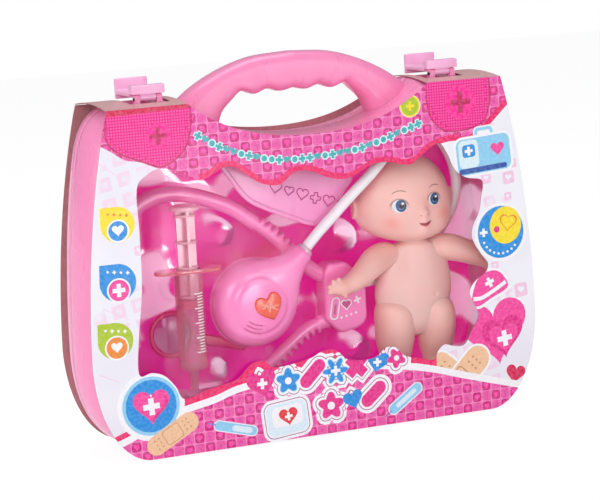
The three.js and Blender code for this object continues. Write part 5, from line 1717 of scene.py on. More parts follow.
@dataclass(frozen=True)
class Face:
    """The doll's painted face on its skin: eyes with a painted highlight, lids with painted shade over them, brows,
    nose tip, lips and blush.
    """

    eyes: Rows = (
        (61.3, 138.5, 4.9, 4.2, 62.3, 138.7, 3.5),
        (86.1, 140.6, 4.3, 4.1, 86.6, 140.8, 3.4),
    )
    brows: Rows = (
        (61.3, 148.3, 4.6, 1.4),
        (86.4, 149.9, 3.8, 1.3),
    )
    mouth: tuple[float, float] = (78.2, 125.9)
    tilt: float = 0.1

    def near(self, across: Signal, up: Signal, wide: float, tall: float) -> Signal:
        """Distance from an ellipse's middle, 1 on its edge."""
        a, b = across / wide, up / tall
        return (a * a + b * b).root()

    def material(self, name: str) -> Material:
        """Paints each feature over the last one where its shape in x and z lies, on the front only."""
        w, colour = Skin(name).wires()
        x, y, z = w.axes()
        front = y.ramp(-11.0, -14.0)

        def coat(share: Signal, code: str) -> None:
            """Blends one more colour over the front of what is painted so far."""
            nonlocal colour
            colour = w.mix(share * front, colour, ink(code))

        for bx, bz in ((56.0, 128.0), (93.5, 130.5)):
            coat(self.near(x - bx, z - bz, 9.0, 7.5).ramp(1.0, 0.0) * 0.45, "#EE7F74")
        for ex, ez, wide, tall, ix, iz, radius in self.eyes:
            u, v, iu, iv = x - ex, z - ez, x - ix, z - iz
            lid = self.near(u, v + 0.5, wide + 0.9, tall + 0.7)
            # Soft brown over the upper lid: painted shade of the eye socket.
            coat(lid.ramp(1.35, 0.9) * (v > -1.0) * 0.35, "#C07A68")
            coat((lid < 1.06) * (lid > 0.95) * (v > 0.6) * 0.8, "#7A4438")
            coat(self.near(u, v, wide, tall).ramp(1.02, 0.94), "#DCE9F4")
            iris = self.near(iu, iv, radius, radius * 1.08)
            coat(iris.ramp(1.05, 0.97), "#10284F")
            coat(iris.ramp(0.86, 0.6), "#2668AC")
            coat(self.near(iu + 0.4, iv + 1.5, radius * 0.62, radius * 0.4).ramp(1.0, 0.3) * 0.6, "#7AB8E6")
            coat(self.near(iu - 0.3, iv - 0.1, radius * 0.56, radius * 0.6).ramp(1.06, 0.94), "#0A0A14")
            # A white dot at the pupil's upper right: a painted highlight.
            coat(self.near(iu - 1.1, iv - 1.3, 0.9, 0.85).ramp(1.1, 0.8), "#FFFFFF")
        for bx, bz, wide, rise in self.brows:
            u = (x - bx) / wide
            line = abs(z - bz - (x - bx) * 0.08 + u * u * rise)
            coat(line.ramp(0.5, 0.18) * (abs(u) < 1.0) * 0.75, "#8A5A48")
        u = x - self.mouth[0]
        for nx in (-2.3, 2.3):
            coat(self.near(u - nx + 0.6, z - 131.4 - nx * 0.08, 0.9, 0.6).ramp(1.3, 0.4) * 0.55, "#C8624F")
        v = z - self.mouth[1] - u * self.tilt
        curve = u * u * 0.075 - 0.5
        body = 1.0 - (u / 4.9) * (u / 4.9)
        upper = (v > curve) * (v < curve + body * 1.35 - (1.0 - (abs(u) / 1.3).least(1.0)) * 0.4)
        lower = (v < curve) * (v > curve - body * 1.45)
        coat(upper * (abs(u) < 4.9) * 0.9, "#C22C48")
        coat(lower * (abs(u) < 4.9) * 0.9, "#E04A5E")
        coat(abs(v - curve).ramp(0.75, 0.3) * (abs(u) < 3.7) * 0.9, "#7C1230")
        w.surface(Base_Color=colour)
        return w.material


@dataclass
class Doll:
    """The vinyl doll: head with a painted face, torso, arms with fingers, legs."""

    head: Rows = (
        (113.1, 75.5, -7, 0.8, 0.8, 0.8), (113.4, 75.5, -7, 5, 4.5, 4), (114.4, 75.3, -7, 12, 9.6, 8.5),
        (116.3, 74.8, -6.6, 18.5, 14, 12), (119.2, 73.8, -6, 24.6, 17.2, 15.5), (123, 72.8, -5, 29, 19.2, 18),
        (128, 71.9, -4.2, 32, 20.2, 20), (134, 71.4, -4, 33.4, 20.4, 20.4), (141, 71.2, -4, 33, 20, 20.5),
        (148, 71.6, -4, 31, 19.8, 20), (155, 72.4, -4, 27.2, 18.2, 18.5), (161, 73.2, -4, 21.8, 15, 15.5),
        (165.6, 73.8, -4, 15.6, 10.8, 11.4), (168.6, 74, -4, 9, 6.2, 6.6), (169.7, 74, -4, 4, 2.8, 3),
        (170.0, 74, -4, 0.8, 0.8, 0.8),
    )
    face_bumps: Rows = (
        (56, 127, 8.5, 1.3), (94, 129, 8, 1.3), (78.3, 132.6, 2.4, 2.3), (78.0, 134.6, 1.9, 0.9),
        (76.8, 138.5, 3.2, 0.6), (78.2, 127.2, 3.4, 0.9), (78.2, 124.2, 2.6, 0.7), (78.0, 119.5, 5, 1.2),
        (61.5, 139.8, 6.2, -1.0), (86.4, 141.2, 5.6, -1.0), (61.6, 138.8, 4.2, 0.6), (86.3, 140.8, 3.9, 0.6),
        (75, 152, 13, 0.5),
    )
    torso: Rows = (
        (50.3, 77, -5, 1, 1, 1), (50.9, 77, -5, 4.5, 4, 4), (53, 77, -5, 8, 6.6, 6), (58, 76.6, -4.7, 14, 9.6, 9),
        (64, 76.3, -4.3, 20, 11, 10.5), (70, 76.2, -4, 24.6, 11.9, 11), (77, 76.5, -4, 26.6, 12.8, 11.5),
        (85, 76.8, -4, 26.4, 13.2, 11.5), (93, 77.2, -4, 25, 12.2, 11), (100, 77.6, -4, 23, 10.8, 10.3),
        (106, 77.9, -4, 20.6, 9.6, 9.6), (110, 77.8, -4, 15.6, 8.6, 8.8), (112.6, 77.2, -4, 9.6, 7.4, 7.6),
        (116, 76, -4, 7.6, 7, 7.4), (118.4, 76, -4, 6.8, 6.4, 6.8), (118.8, 76, -4, 1, 1, 1),
    )
    belly_bumps: Rows = (
        (87.2, 78.4, 1.5, -1.5), (87.2, 78.4, 4.2, 0.5), (68, 99, 7, 0.5), (87, 99, 7, 0.5),
    )
    leg: Rows = (
        (77.6, 60, -4, 0.8, 0.8, 0.8), (77.3, 60, -4.2, 4, 3.4, 3.4), (75.8, 60.2, -4.6, 8, 7, 6.6),
        (72.4, 60.8, -5, 11, 10.4, 9.6), (67, 61.6, -5.2, 13, 12.4, 11.2), (59, 62, -5, 13.4, 12.9, 11.8),
        (50, 62, -4.5, 12.8, 12.1, 11.4), (42, 62, -4, 11.2, 10.8, 10.2), (36, 62, -4, 9.6, 9.4, 9.2),
        (33, 62, -4.4, 9.6, 10.2, 9), (29, 62, -5, 9.8, 11.4, 9), (25.4, 62, -5.4, 8.8, 11, 8),
        (23, 62, -5.4, 6, 8, 6), (22.2, 62, -5.4, 1, 1, 1),
    )
    arm_left: Rows = (
        (60, -4, 104.0, 8.6), (56, -5, 104.4, 9.2), (49, -8.6, 102.9, 9.2), (42.3, -12.6, 99.8, 8.5),
        (35.6, -16.0, 96.0, 7.5), (29.0, -18.4, 92.9, 6.6), (23.4, -19.8, 91.2, 5.5), (18.4, -20.4, 90.5, 5.7),
        (14.6, -20.7, 90.2, 3.9),
    )
    arm_right: Rows = (
        (93, -4, 105.4, 8.4), (98, -4.6, 106.0, 8.9), (105, -7.4, 105.2, 8.7), (112, -10, 102.6, 7.9),
        (118, -11.8, 99.4, 6.8), (123, -12.7, 96.6, 5.5), (127.4, -13.1, 94.4, 5.4), (130.8, -13.2, 92.8, 3.8),
    )
    fingers_left: Rows = (
        (17.4, -22.4, 96.2), (13.2, -23.0, 95.4), (10.4, -23.0, 92.2), (10.6, -22.4, 88.6), (20.8, -23.6, 85.4),
    )
    fingers_right: Rows = (
        (130.4, -15.4, 98.0), (133.6, -15.2, 95.2), (134.6, -14.8, 92.0), (132.6, -14.4, 89.2), (124.0, -17.0, 100.6),
    )

    def arm(self, rows: Table, tips: Table) -> Form:
        """A limb along its path, with four fingers and a thumb from the palm."""
        smooth = spline(rows, 7, False)
        limb = swept(smooth[:, :3], smooth[:, 3], 40)
        palm = np.array(rows[-2][:3])
        start, end = np.array(rows[0]), np.array(rows[-1])
        limb += ball(start[:3], [start[3]] * 3) + ball(end[:3], [end[3]] * 3)
        for tip in tips:
            path = np.linspace(palm + (np.array(tip) - palm) * 0.3, tip, 6)
            limb += swept(path, np.array([2.1, 2.1, 2.0, 1.95, 1.85, 1.5]), 14) + ball(tip, (1.6, 1.6, 1.6), 8, 12)
        return limb

    def build(self) -> None:
        """Makes the six pieces; all but the torso ride on bodies of their own."""
        plain = Skin("doll_skin").material()
        light = Skin("doll_skin_light", "#F5C7C0", "#E8A9A1").material()
        shape = pushed(stacked(self.head, 7, 150), self.face_bumps, -8.0)
        for x, z, hand in ((38.6, 137.2, -1.0), (103.8, 138.6, 1.0)):
            shape += ball((x, -3.2, z), (2.6, 3.6, 7.0))
            ring = np.linspace(-0.4, np.pi + 0.6, 16)
            rim = columns(np.full(16, x + hand * 1.1), -3.4 - 2.7 * np.sin(ring), z - 5.8 * np.cos(ring))
            shape += swept(rim, 1.3, 12)
        melt(make_piece("doll_head_vinyl", shape, Face().material("doll_face"), "doll_head", "doll_head"), 0.65, 3)
        body = pushed(stacked(self.torso, 7, 120), self.belly_bumps, -8.0)
        make_piece("doll_torso_vinyl", body, light, "doll_torso", smooth=Smooth.ROUND)
        arms = ("left", self.arm_left, self.fingers_left), ("right", self.arm_right, self.fingers_right)
        for side, rows, tips in arms:
            node = f"doll_arm_{side}"
            melt(make_piece(f"{node}_vinyl", self.arm(rows, tips), plain, node, node), 0.6, 4)
        for side, shift in (("left", 0.0), ("right", 29.2)):
            node, form = f"doll_leg_{side}", stacked(self.leg, 7, 80)
            form.points = form.points + [shift, 0.0, 0.0]
            make_piece(f"{node}_vinyl", form, plain, node, node, Smooth.ROUND)


# ---- stethoscope


@dataclass
class Stethoscope:
    """Chest piece with its heart button, tube, yoke box and two ear arms."""

    centre: tuple[float, float] = (-36.5, 86.2)
    radius: float = 27.8
    profile: Rows = (
        (0.02, -25.6), (0.3, -25.5), (0.5, -25.1), (0.6, -24.4), (0.645, -23.4), (0.69, -23.1), (0.76, -22.6),
        (0.85, -21.0), (0.93, -18.6), (0.98, -15.6), (1.0, -12.4), (0.995, -9.6), (0.965, -8.0), (0.02, -8.0),
    )
    neck: Rows = (
        (4, 24.5, 7.4), (11, 23.4, 7.8), (18, 20.2, 8.0), (24, 15.6, 7.8), (29.5, 11.6, 7.3), (35, 8.9, 6.9),
        (40, 7.5, 6.5), (43.4, 6.9, 6.3), (44.8, 6.2, 5.8),
    )
    lean: float = 0.7268
    depth: float = -16.5
    tube: Rows = (
        (-8.1, -16.5, 111.4), (-4, -16.5, 115.1), (1, -16.7, 120.6), (6.5, -17, 126.2), (12.2, -17.5, 131.6),
        (18.7, -18.2, 137.8), (25.8, -19, 144.7), (32.7, -19.7, 151), (39.8, -20, 157.2), (47, -19.4, 163.4),
        (55, -17.4, 170.6), (63, -14.4, 177.6), (72, -11, 182.6), (82, -7.8, 184.2), (91.5, -5, 182),
        (100, -3, 176.6), (107, -1.4, 167), (111.4, 0, 156), (113, 1.4, 143), (110, 5, 128), (102, 10, 113),
        (90, 13, 101), (77, 13.8, 93.5), (72.5, 13.5, 91.8), (68, 12.4, 90.5), (63.7, 10.7, 89.5), (59.5, 8.3, 88.8),
        (55.3, 5.8, 88.3), (51, 3.8, 88.1), (46.5, 2.5, 88), (42, 2, 88), (37, 2, 88),
    )
    tube_radius: float = 3.5
    yoke: tuple[float, float, float, float] = (28.5, 80.7, 29.0, 46.0)
    yoke_outline: Rows = (
        (-0.5, -0.28), (-0.16, -0.5), (0.34, -0.44), (0.5, -0.34), (0.5, 0.24), (0.06, 0.5), (-0.4, 0.5), (-0.5, 0.36),
    )
    arm_reach: float = 65.0
    tooth: float = 5.2
    stations: int = 420
    upper: Rows = (
        (-0.16, 0.3), (-0.3, 0.42), (-0.44, 0.58), (-0.575, 0.763), (-0.72, 0.976), (-0.87, 1.157), (-1.12, 1.417),
        (-1.37, 1.574), (-1.62, 1.672), (-1.82, 1.68), (-1.97, 1.626), (-2.09, 1.53), (-2.21, 1.36), (-2.27, 1.12),
        (-2.28, 0.9), (-2.27, 0.7), (-2.26, 0.52),
    )
    lower: Rows = (
        (-0.06, -0.26), (-0.18, -0.31), (-0.29, -0.343), (-0.41, -0.411), (-0.55, -0.546), (-0.69, -0.7),
        (-0.82, -0.85), (-1.0, -1.0), (-1.25, -1.115), (-1.5, -1.145), (-1.72, -1.125),
    )

    button_half: Rows = (
        (0, -0.52), (0.12, -0.42), (0.3, -0.26), (0.47, -0.04), (0.52, 0.2), (0.42, 0.42), (0.22, 0.48), (0, 0.3),
    )
    pulse: Rows = (
        (-5.4, 0.2), (-3.2, 0.2), (-2.2, 2.6), (-0.6, -3.2), (0.9, 3.6), (2.2, -1.2), (3.2, 0.4), (5.4, 0.4),
    )
    stroke: Rows = ((-3.4, -3.8), (-1.2, -1.6), (1.2, 1.2), (3.4, 3.4))

    def front_depth(self, reach: Array) -> Array:
        """Depth of the dome's face at a distance from its middle."""
        table = np.array(self.profile[:11])
        return np.interp(reach, table[:, 0] * self.radius, table[:, 1])

    def hose(self) -> None:
        """The white tube: a round sweep along its route."""
        route = np.array(self.tube)
        line = evenly(spline(route, 12, False), 320, False)
        finish = MouldedPlastic("tube_white", "#F6F2F6", "#E7D8E4", 0.26, 0.4, 0.01, 0.2).material()
        form = swept(line, self.tube_radius, 24)
        piece = make_piece("stethoscope_hose", form, finish, "stethoscope_tube", smooth=Smooth.SOFT)

    def chest(self, finish: Material, mark: Material) -> None:
        """The drop-shaped chest piece: a stepped dome fused with a flaring neck, and its back cover."""
        x, z = self.centre
        profile = spline(self.profile, 4, False)
        profile[:, 0] = np.maximum(profile[:, 0], 0.02) * self.radius
        dome = turned(profile, (x, 0, z), 1, 120)
        rows = spline(self.neck, 5, False)
        along = np.array([np.cos(self.lean), 0.0, np.sin(self.lean)])
        path = np.array([x, self.depth, z]) + rows[:, :1] * along
        shell = dome + swept(path, rows[:, 1], 48, rows[:, 2] / rows[:, 1])
        melt(make_piece("chest_piece_shell", shell, finish, "stethoscope_chest_shell"), 0.6, 9)
        lip = np.array([x, self.depth, z]) + np.linspace(43.0, 47.4, 8)[:, None] * along
        wide = np.array([5.2, 5.6, 5.7, 5.7, 5.7, 5.6, 5.3, 4.6])
        clear = TintedPlastic("collar_clear", "#FBD0E6", "#F07FBE", 0.45, 0.4).material()
        make_piece("tube_collar", swept(lip, wide, 32), clear, smooth=Smooth.SOFT)
        arcs = Form()
        for reach, half in ((12.4, 0.40), (15.0, 0.38), (17.6, 0.36)):
            angle = np.linspace(-2.30 - half, -2.30 + half, 18) + 0.32
            depth = self.front_depth(np.full(18, reach)) - 0.1
            arcs += swept(columns(x + reach * np.cos(angle), depth, z + reach * np.sin(angle)), 0.42, 10)
        make_piece("sound_arcs", arcs, mark, smooth=Smooth.SOFT)
        cover = plate(disc(x, z, 25.8, count=96), -7.7, -5.0, 1.4)
        make_piece("chest_piece_cover", cover, finish, "stethoscope_back_cover", smooth=Smooth.SOFT)

    def button(self) -> None:
        """The heart button with a raised rim and an engraved pulse line."""
        x, z = self.centre[0] + 4.9, self.centre[1] - 1.3
        red = MouldedPlastic("button_red", "#F4573A", "#E03A2A", 0.26, 0.5).material()
        pale = MouldedPlastic("button_line", "#FFC4B4", "#FFA088", 0.4).material()
        loop = both_sides(spline(self.button_half, 6, False)) * 17.0 + [x, z]
        body = plate(spun(evenly(loop, 90), x, z, 0.3), -27.0, -20.8, 1.1, 5)
        lines = Form()
        for line, turn in ((self.pulse, 0.1), (self.stroke, 1.9)):
            spots = evenly(spun(np.array(line) + [x, z], x, z, turn), 40, False)
            lines += swept(upright(spots, -27.02), 0.32, 8)
        sorts = slots(body, lines)
        make_piece("heart_button_red", body + lines, [red, pale], "heart_button", "heart_button", chosen=sorts)

    def ear_arm(self, name: str, shares: Table, teeth: tuple[float, float, float], finish: Material) -> None:
        """An ear arm: a round bar whose corrugated stretch has square teeth on one side, and a soft tip.

        Args:
            name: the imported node.
            shares: its route, over the arm's reach and the yoke's height from the yoke's middle.
            teeth: the corrugated stretch's start and end along the arm, and its side, 1 or -1.
            finish: its material.
        """
        route = np.array(shares) * [self.arm_reach, self.yoke[3]] + self.yoke[:2]
        path = upright(evenly(spline(route, 10, False), self.stations, False), 0.7)
        along = unit(np.gradient(path, axis=0))
        side = np.cross(along, REARWARD)
        share = np.linspace(0.0, 1.0, self.stations)
        start, end, hand = teeth
        phase = (share - start) * run(path) / self.tooth
        wave = np.clip(np.sin(phase * TURN) * 2.6 + 0.5, 0, 1) * ((share > start) & (share < end))
        angle = circle(32)
        c, s = np.cos(angle)[None, :, None], np.sin(angle)[None, :, None]
        lift = wave[:, None, None] * np.clip(c * hand, 0, 1) ** 0.4 * 2.7
        slim = 1.0 - 0.22 * ((share > start) & (share < end))[:, None, None]
        ring = side[:, None] * (c * 4.9 * slim + hand * lift) + REARWARD * s * 3.9
        form = skin(path[:, None] + ring) + ball(path[-1], (5.6, 4.5, 5.6), 20, 32)
        make_piece(f"{name}_moulded", form, finish, name, smooth=Smooth.SOFT)

    def yoke_box(self, finish: Material, mark: Material) -> None:
        """The yoke box with rounded edges, its cover and a small print of a heart, bar, cross and dots."""
        x, z, width, height = self.yoke
        corners = np.array(self.yoke_outline) * [width, height] + [x, z]
        loop = evenly(spline(evenly(corners, 24), 4), 96)
        make_piece("yoke_box", plate(loop, -6.0, 9.7, 2.4, 6), finish, "stethoscope_yoke", smooth=Smooth.SOFT)
        make_piece("yoke_box_cover", plate(inset(loop, 1.2, 1.2), 10.0, 12.0, 0.8), finish, "yoke_cover")
        white = MouldedPlastic("yoke_print_white", "#FDF2F8", "#F8D8EA", 0.4).material()
        shapes = [
            (grown(capsule((19.6, 70.3), (21.2, 78.9), 2.5), 0.5), 0.16, 0),
            (capsule((19.6, 70.3), (21.2, 78.9), 2.1), 0.2, 2),
            (capsule((19.9, 71.3), (20.9, 76.7), 0.7), 0.24, 1),
            (grown(heart(28.4, 76.1, 6.6), 0.6), 0.16, 0),
            (heart(28.4, 76.1, 6.2), 0.2, 1),
            (plus(36.2, 78.7, 2.6, 0.7, 0.3), 0.16, 0),
        ]
        shapes += [(disc(24.6 + 3.4 * k, 68.3 + 0.7 * k, 0.8, count=14), 0.16, 0) for k in range(4)]
        form, numbers = Form(), []
        for loop, lift, number in shapes:
            shape = plate(counter(loop), -6.0 - lift, -5.6, 0.02, 1)
            form, numbers = form + shape, numbers + [number] * len(shape.faces)
        make_piece("yoke_box_print", form, [white, mark, finish], smooth=Smooth.FLAT, chosen=np.array(numbers))

    def build(self) -> None:
        """Makes every piece but the tube, which is made first of all."""
        pink = MouldedPlastic("toy_pink", "#FF84C5", "#F060AC", 0.24, 0.45).material()
        mark = MouldedPlastic("toy_deep_pink", "#D9428F", "#C02C7C", 0.4).material()
        self.chest(pink, mark)
        self.button()
        self.yoke_box(pink, mark)
        self.ear_arm("ear_arm_upper", self.upper, (0.13, 0.31, -1.0), pink)
        self.ear_arm("ear_arm_lower", self.lower, (0.12, 0.72, 1.0), pink)


# ---- syringe, cap and lens


@dataclass
class Syringe:
    """Clear pink toy syringe: barrel with flange, nozzle and scale, ribbed plunger and rubber piston."""

    x: float = -80.0
    y: float = -15.0
    radius: float = 9.0
    wall: float = 1.1
    piston: Rows = (
        (0.4, 87.4), (3, 87.4), (6.4, 88.4), (7.6, 89.2), (7.6, 90.4), (6.6, 91), (6.6, 91.8), (7.6, 92.4),
        (7.6, 93.8), (7, 94.4), (0.4, 94.4),
    )

    def barrel(self) -> tuple[Form, Form]:
        """The wall with its open mouth, and the flange round it."""
        inner = self.radius - self.wall
        profile = (
            (2.2, 36), (2.6, 38), (2.9, 47), (3.4, 49.2), (7.6, 50.2), (8.7, 50.9), (9.0, 52), (9.0, 111.2),
            (inner, 111.2), (inner, 53), (inner - 0.8, 52), (1.3, 51), (1.0, 49), (0.9, 36),
        )
        walls = turned(profile, (self.x, self.y, 0), 2, 64, True)
        c, s = np.cos(circle(64)), np.sin(circle(64))
        wide = columns(self.x + 21.6 * np.sign(c) * np.abs(c) ** 0.75, self.y + 8 * np.sign(s) * np.abs(s) ** 0.8)
        hole = columns(self.x + inner * c, self.y + inner * s)
        middle = np.array([self.x, self.y])
        rows = [(wide, k, h) for k, h in ((0.985, 110.9), (1.0, 111.3), (1.0, 112.8), (0.985, 113.2))]
        rows += [(hole, 1.0, 113.2), (hole, 1.0, 110.9)]
        rings = [np.column_stack([middle + (loop - middle) * k, np.full(64, h)]) for loop, k, h in rows]
        return walls, skin(np.stack(rings), over=True)

    def scale(self) -> Form:
        """White marks on the barrel's front: thin curved plates, every fifth one longer."""
        marks = Form()
        for number in range(21):
            z = 98.6 - 1.84 * number
            span = (0.02, 0.8) if number % 5 == 0 else (0.24, 0.74)
            a = np.linspace(*span, 10)
            outer = columns(self.x + 9.16 * np.sin(a), self.y - 9.16 * np.cos(a))
            inner = columns(self.x + 9.0 * np.sin(a), self.y - 9.0 * np.cos(a))[::-1]
            loop = np.vstack([outer, inner])
            marks += skin(np.stack([np.column_stack([loop, np.full(20, z + h)]) for h in (-0.36, 0.36)]))
        return marks

    def plunger(self) -> Form:
        """Two crossed ribs with stiffening discs, and the thumb plate."""
        x, y = self.x, self.y
        form = Form()
        for a, b in ((6, 0.9), (0.9, 6)):
            form += block((x - a, y - b, 94.7), (x + a, y + b, 149.8))
        for z in (96.0, 114.0, 130.0, 146.5):
            form += turned([[0.5, -0.7], [6.6, -0.7], [6.9, 0.0], [6.6, 0.7], [0.5, 0.7]], (x, y, z), 2, 40)
        rim = ((0.5, 149.6), (8.6, 149.6), (9.3, 150.0), (9.5, 151.0), (9.3, 152.0), (8.4, 152.6), (0.5, 152.3))
        return form + turned(rim, (x, y, 0))

    def build(self) -> None:
        """Makes the barrel, scale, plunger and piston."""
        clear = TintedPlastic("syringe_clear", "#FF8CB4", "#F0284C", 0.14, 0.62).material()
        edge = TintedPlastic("flange_clear", "#FF6680", "#E8142C", 0.42, 0.62).material()
        stem = MouldedPlastic("plunger_pale", "#F9AFC4", "#EE7F9C", 0.22, 0.5, 0.02, 0.4).material()
        white = MouldedPlastic("scale_white", "#FFFFFF", "#F4EAF0", 0.4).material()
        rubber = MouldedPlastic("piston_rubber", "#E8457C", "#C8305E", 0.5, 0.0).material()
        walls, flange = self.barrel()
        sorts = slots(walls, flange)
        make_piece("syringe_tube", walls + flange, [clear, edge], "syringe_barrel", "case", Smooth.SOFT, sorts)
        make_piece("syringe_scale", self.scale(), white, smooth=Smooth.FLAT)
        make_piece("plunger_stem", self.plunger(), stem, "syringe_plunger", "syringe_plunger")
        plug = turned(self.piston, (self.x, self.y, 0))
        make_piece("piston_plug", plug, rubber, "syringe_piston", "syringe_plunger")


@dataclass
class Trinkets:
    """Nurse cap and hand lens."""

    cap: Rows = (
        (0.64, 0), (0.72, 0.02), (0.86, 0.24), (0.94, 0.42), (1, 0.58), (0.97, 0.74), (0.8, 0.88), (0.5, 0.98),
        (0.2, 1), (0, 0.92), (0.07, 0.66), (0.17, 0.42), (0.29, 0.28), (0.46, 0.14),
    )
    cap_place: tuple[float, float, float, float] = (-53.0, 131.0, 88.0, 48.0)
    lens: tuple[float, float] = (-88.0, 70.0)
    dome: Rows = ((0.3, -0.9), (5, -0.75), (9, -0.35), (11.7, 0.2), (11.7, 1.6), (9, 2.2), (5, 2.6), (0.3, 2.75))

    def nurse_cap(self) -> None:
        """The cap's plate with a rolled edge, a brim line and a row of outlined hearts and a cross."""
        x, z, width, height = self.cap_place
        loop = spline(self.cap, 8) * [width, height] + [x, z]
        loop = evenly(counter(loop), 140)
        pink = MouldedPlastic("cap_pink", "#FB9AD0", "#F27ABF", 0.3, 0.35).material()
        mark = MouldedPlastic("cap_print", "#C02888", "#A81C78", 0.4).material()
        body = plate(loop, -12.0, -9.8, 0.9, 4)
        body += bead(inset(loop, 2.6, 2.6), -12.0, 0.5)
        prints = Form()
        for number in range(6):
            u = number / 5
            spot = (-18 + 44 * u, 157 - 15 * u)
            shape = heart(*spot, 6.4 if number % 2 else 8.0, -0.25) if number != 3 else plus(*spot, 3.4, 1.1, -0.25)
            prints += bead(evenly(shape, 40), -12.1, 0.34)
        make_piece("nurse_cap_plate", body + prints, [pink, mark], "nurse_cap", chosen=slots(body, prints))

    def hand_lens(self) -> None:
        """A rounded ring with its handle, and the domed glass in it."""
        x, z = self.lens
        deep = MouldedPlastic("lens_magenta", "#E0207C", "#B8105C", 0.26, 0.4).material()
        ring = turned_ring(x, z, 13.5, 1.75, 2.1, 1.0)
        lean = float(np.arctan2(9.0, 34.0))
        way = np.array([np.cos(-lean), np.sin(-lean)])
        start, end = np.array([x, z]) + way * 15.5, np.array([x, z]) + way * 48.5
        loop = capsule(start, end, 3.5)
        handle = plate(loop, -1.0, 3.0, 1.4, 5)
        make_piece("hand_lens_ring", ring + handle, deep, "hand_lens_frame", smooth=Smooth.SOFT)
        glass = ClearSheet("lens_glass", "#F6E4F0", 0.1, 0.6, 0.04, 0.05)
        dome = turned(self.dome, (x, 0, z), 1, 64)
        make_piece("hand_lens_dome", dome, glass.material(), "hand_lens_glass", smooth=Smooth.SOFT)

    def build(self) -> None:
        """Makes both."""
        self.nurse_cap()
        self.hand_lens()


class Pins:
    """Hinge and latch pins with chamfered ends."""

    def build(self) -> None:
        """Makes the four pins on the bodies that hold them."""
        steel = DarkSteel("pin_steel").material()
        for side, hand in (("left", -1.0), ("right", 1.0)):
            for kind, body, place, radius, half in (
                ("hinge", "case", (hand * HINGE_X, 0.0, 3.0), 1.2, 12.15),
                ("latch", "lid", (hand * LATCH_X, LATCH_Y, LATCH_Z), 0.8, 8.5),
            ):
                ends = ((0.1, -half), (radius - 0.3, -half), (radius, -half + 0.3))
                profile = np.array(ends + tuple((r, -h) for r, h in ends[::-1]))
                node = f"{kind}_pin_{side}"
                make_piece(f"{node}_wire", turned(profile, place, 0, 28), steel, node, body)


# ---- photograph's view and light


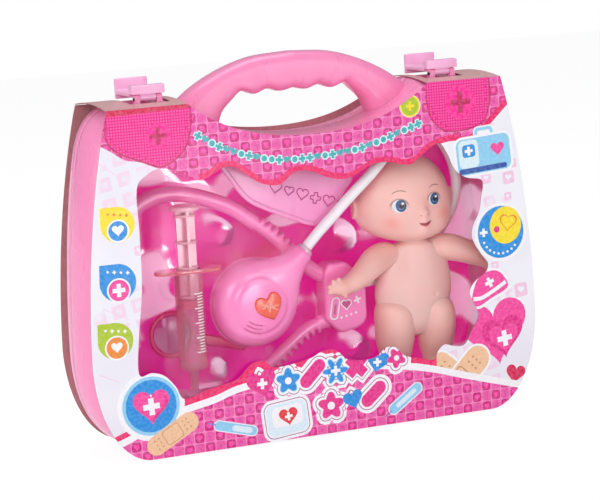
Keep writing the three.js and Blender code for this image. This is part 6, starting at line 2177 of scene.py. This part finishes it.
@dataclass
class Studio:
    """Camera of the photograph, pale floor and soft lamps."""

    azimuth: float = 0.374603
    elevation: float = 0.161770
    roll: float = -0.0534592
    distance: float = 1.39936
    target: tuple[float, float, float] = (0.000874, 0.0, 0.114)
    lens: float = 132.0

    def axes(self) -> tuple[Array, Array, Array]:
        """The camera's right, up and back directions, rolled about its line of sight."""
        a, e = self.azimuth, self.elevation
        back = np.array([-np.sin(a) * np.cos(e), -np.cos(a) * np.cos(e), np.sin(e)])
        right = np.array([np.cos(a), -np.sin(a), 0.0])
        up = np.cross(right, -back)
        c, s = np.cos(self.roll), np.sin(self.roll)
        return right * c + up * s, up * c - right * s, back

    def camera(self) -> None:
        """Puts the camera on its line of sight at its distance from the target."""
        right, up, back = self.axes()
        data = bpy.data.cameras.new("photo_camera")
        data.lens, data.sensor_width = self.lens, 36.0
        data.clip_start, data.clip_end = 0.05, 50.0
        camera = linked("photo_camera", data)
        place = np.eye(4)
        place[:3, 0], place[:3, 1], place[:3, 2] = right, up, back
        place[:3, 3] = np.array(self.target) + back * self.distance
        camera.matrix_world = Matrix(place.tolist())
        bpy.context.scene.camera = camera

    def lamp(self, name: str, place: Sequence[float], aim: Sequence[float], size: float, power: float) -> Object:
        """A square soft lamp that faces a point."""
        data = bpy.data.lights.new(name, "AREA")
        data.shape, data.size, data.energy = "SQUARE", size, power
        lamp = linked(name, data)
        lamp.location = place
        lamp.rotation_euler = (Vector(aim) - Vector(place)).to_track_quat("-Z", "Y").to_euler()
        return lamp

    def floor(self) -> None:
        """A wide pale floor that shows as white to the eye and in gloss, and keeps the shadow soft."""
        points = np.array([[-3000, -3000, 0], [3000, -3000, 0], [3000, 3000, 0], [-3000, 3000, 0]], float)
        w = Wiring("pale_floor")
        grain = w.speckle(30.0, 2.0)
        w.surface(Base_Color=w.mix(grain, ink("#FAFAFB"), ink("#F4F4F6")), Roughness=0.9)
        ray = w.node("ShaderNodeLightPath")
        seen = Signal(w, ray.outputs["Is Camera Ray"]).most(Signal(w, ray.outputs["Is Glossy Ray"]))
        shown = seen.most(Signal(w, ray.outputs["Is Transmission Ray"]))
        glow = w.node("ShaderNodeEmission", None, {"Color": ink("#FFFFFF"), "Strength": 1.14})
        both = w.node("ShaderNodeMixShader", None, {0: shown * 0.8, 1: w.shader.outputs[0], 2: glow.outputs[0]})
        end = next(n for n in w.tree.nodes if n.type == "OUTPUT_MATERIAL")
        w.feed(end.inputs[0], both.outputs[0])
        mesh = bpy.data.meshes.new("pale_floor")
        mesh.from_pydata((points * MM).tolist(), [], [[0, 1, 2, 3]])
        mesh.materials.append(w.material)
        floor = linked("pale_floor", mesh)
        floor.location.z = -0.0004

    def world(self) -> None:
        """A plain pale surround, pure white to the eye."""
        world = bpy.data.worlds.new("pale_room")
        world.use_nodes = True
        tree = world.node_tree
        ground = tree.nodes["Background"]
        ground.inputs[0].default_value = ink("#F5F5F8")
        ground.inputs[1].default_value = 0.35
        shown = tree.nodes.new("ShaderNodeBackground")
        shown.inputs[0].default_value = (1.0, 1.0, 1.0, 1.0)
        ray = tree.nodes.new("ShaderNodeLightPath")
        both = tree.nodes.new("ShaderNodeMixShader")
        tree.links.new(ray.outputs["Is Camera Ray"], both.inputs[0])
        tree.links.new(ground.outputs[0], both.inputs[1])
        tree.links.new(shown.outputs[0], both.inputs[2])
        tree.links.new(both.outputs[0], tree.nodes["World Output"].inputs[0])
        bpy.context.scene.world = world

    def build(self) -> None:
        """Sets the view transform, floor, surround and lamps."""
        bpy.context.scene.view_settings.view_transform = "Standard"
        self.floor()
        self.world()
        self.lamp("key_softbox", (-0.95, -1.35, 0.7), (0, 0, 0.1), 0.9, 10.6)
        self.lamp("fill_softbox", (0.5, -1.5, 0.5), (0, 0, 0.1), 0.9, 5.4)
        self.lamp("top_softbox", (0.0, 0.2, 1.4), (0, 0, 0.1), 0.9, 7.0)
        self.lamp("side_softbox", (-1.5, -0.1, 0.35), (0, 0, 0.12), 0.7, 4.0)
        sheen = self.lamp("window_sheen", (0.062, -0.469, 0.078), (-0.086, -0.029, 0.145), 0.115, 0.24)
        sheen.visible_camera = sheen.visible_diffuse = False


def main() -> None:
    """Builds the studio and every sub-assembly."""
    logging.basicConfig(level=logging.INFO, format="%(name)s: %(message)s")
    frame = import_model()
    studio, stethoscope = Studio(), Stethoscope()
    studio.camera()
    stethoscope.hose()
    studio.build()
    pink = MouldedPlastic("shell_pink", "#FF93C3", "#F578B0").material()
    CaseShells().build(pink)
    Latches().build(MouldedPlastic("latch_pink", "#FBB9E0", "#F58FCB", 0.34).material())
    CardSleeve().build()
    Insert().build()
    Doll().build()
    stethoscope.build()
    Syringe().build()
    Trinkets().build()
    Pins().build()
    spring = frame["nodes"]["button_spring"]
    spring.data.materials.clear()
    spring.data.materials.append(DarkSteel("spring_steel").material())


if __name__ == "__main__":
    main()
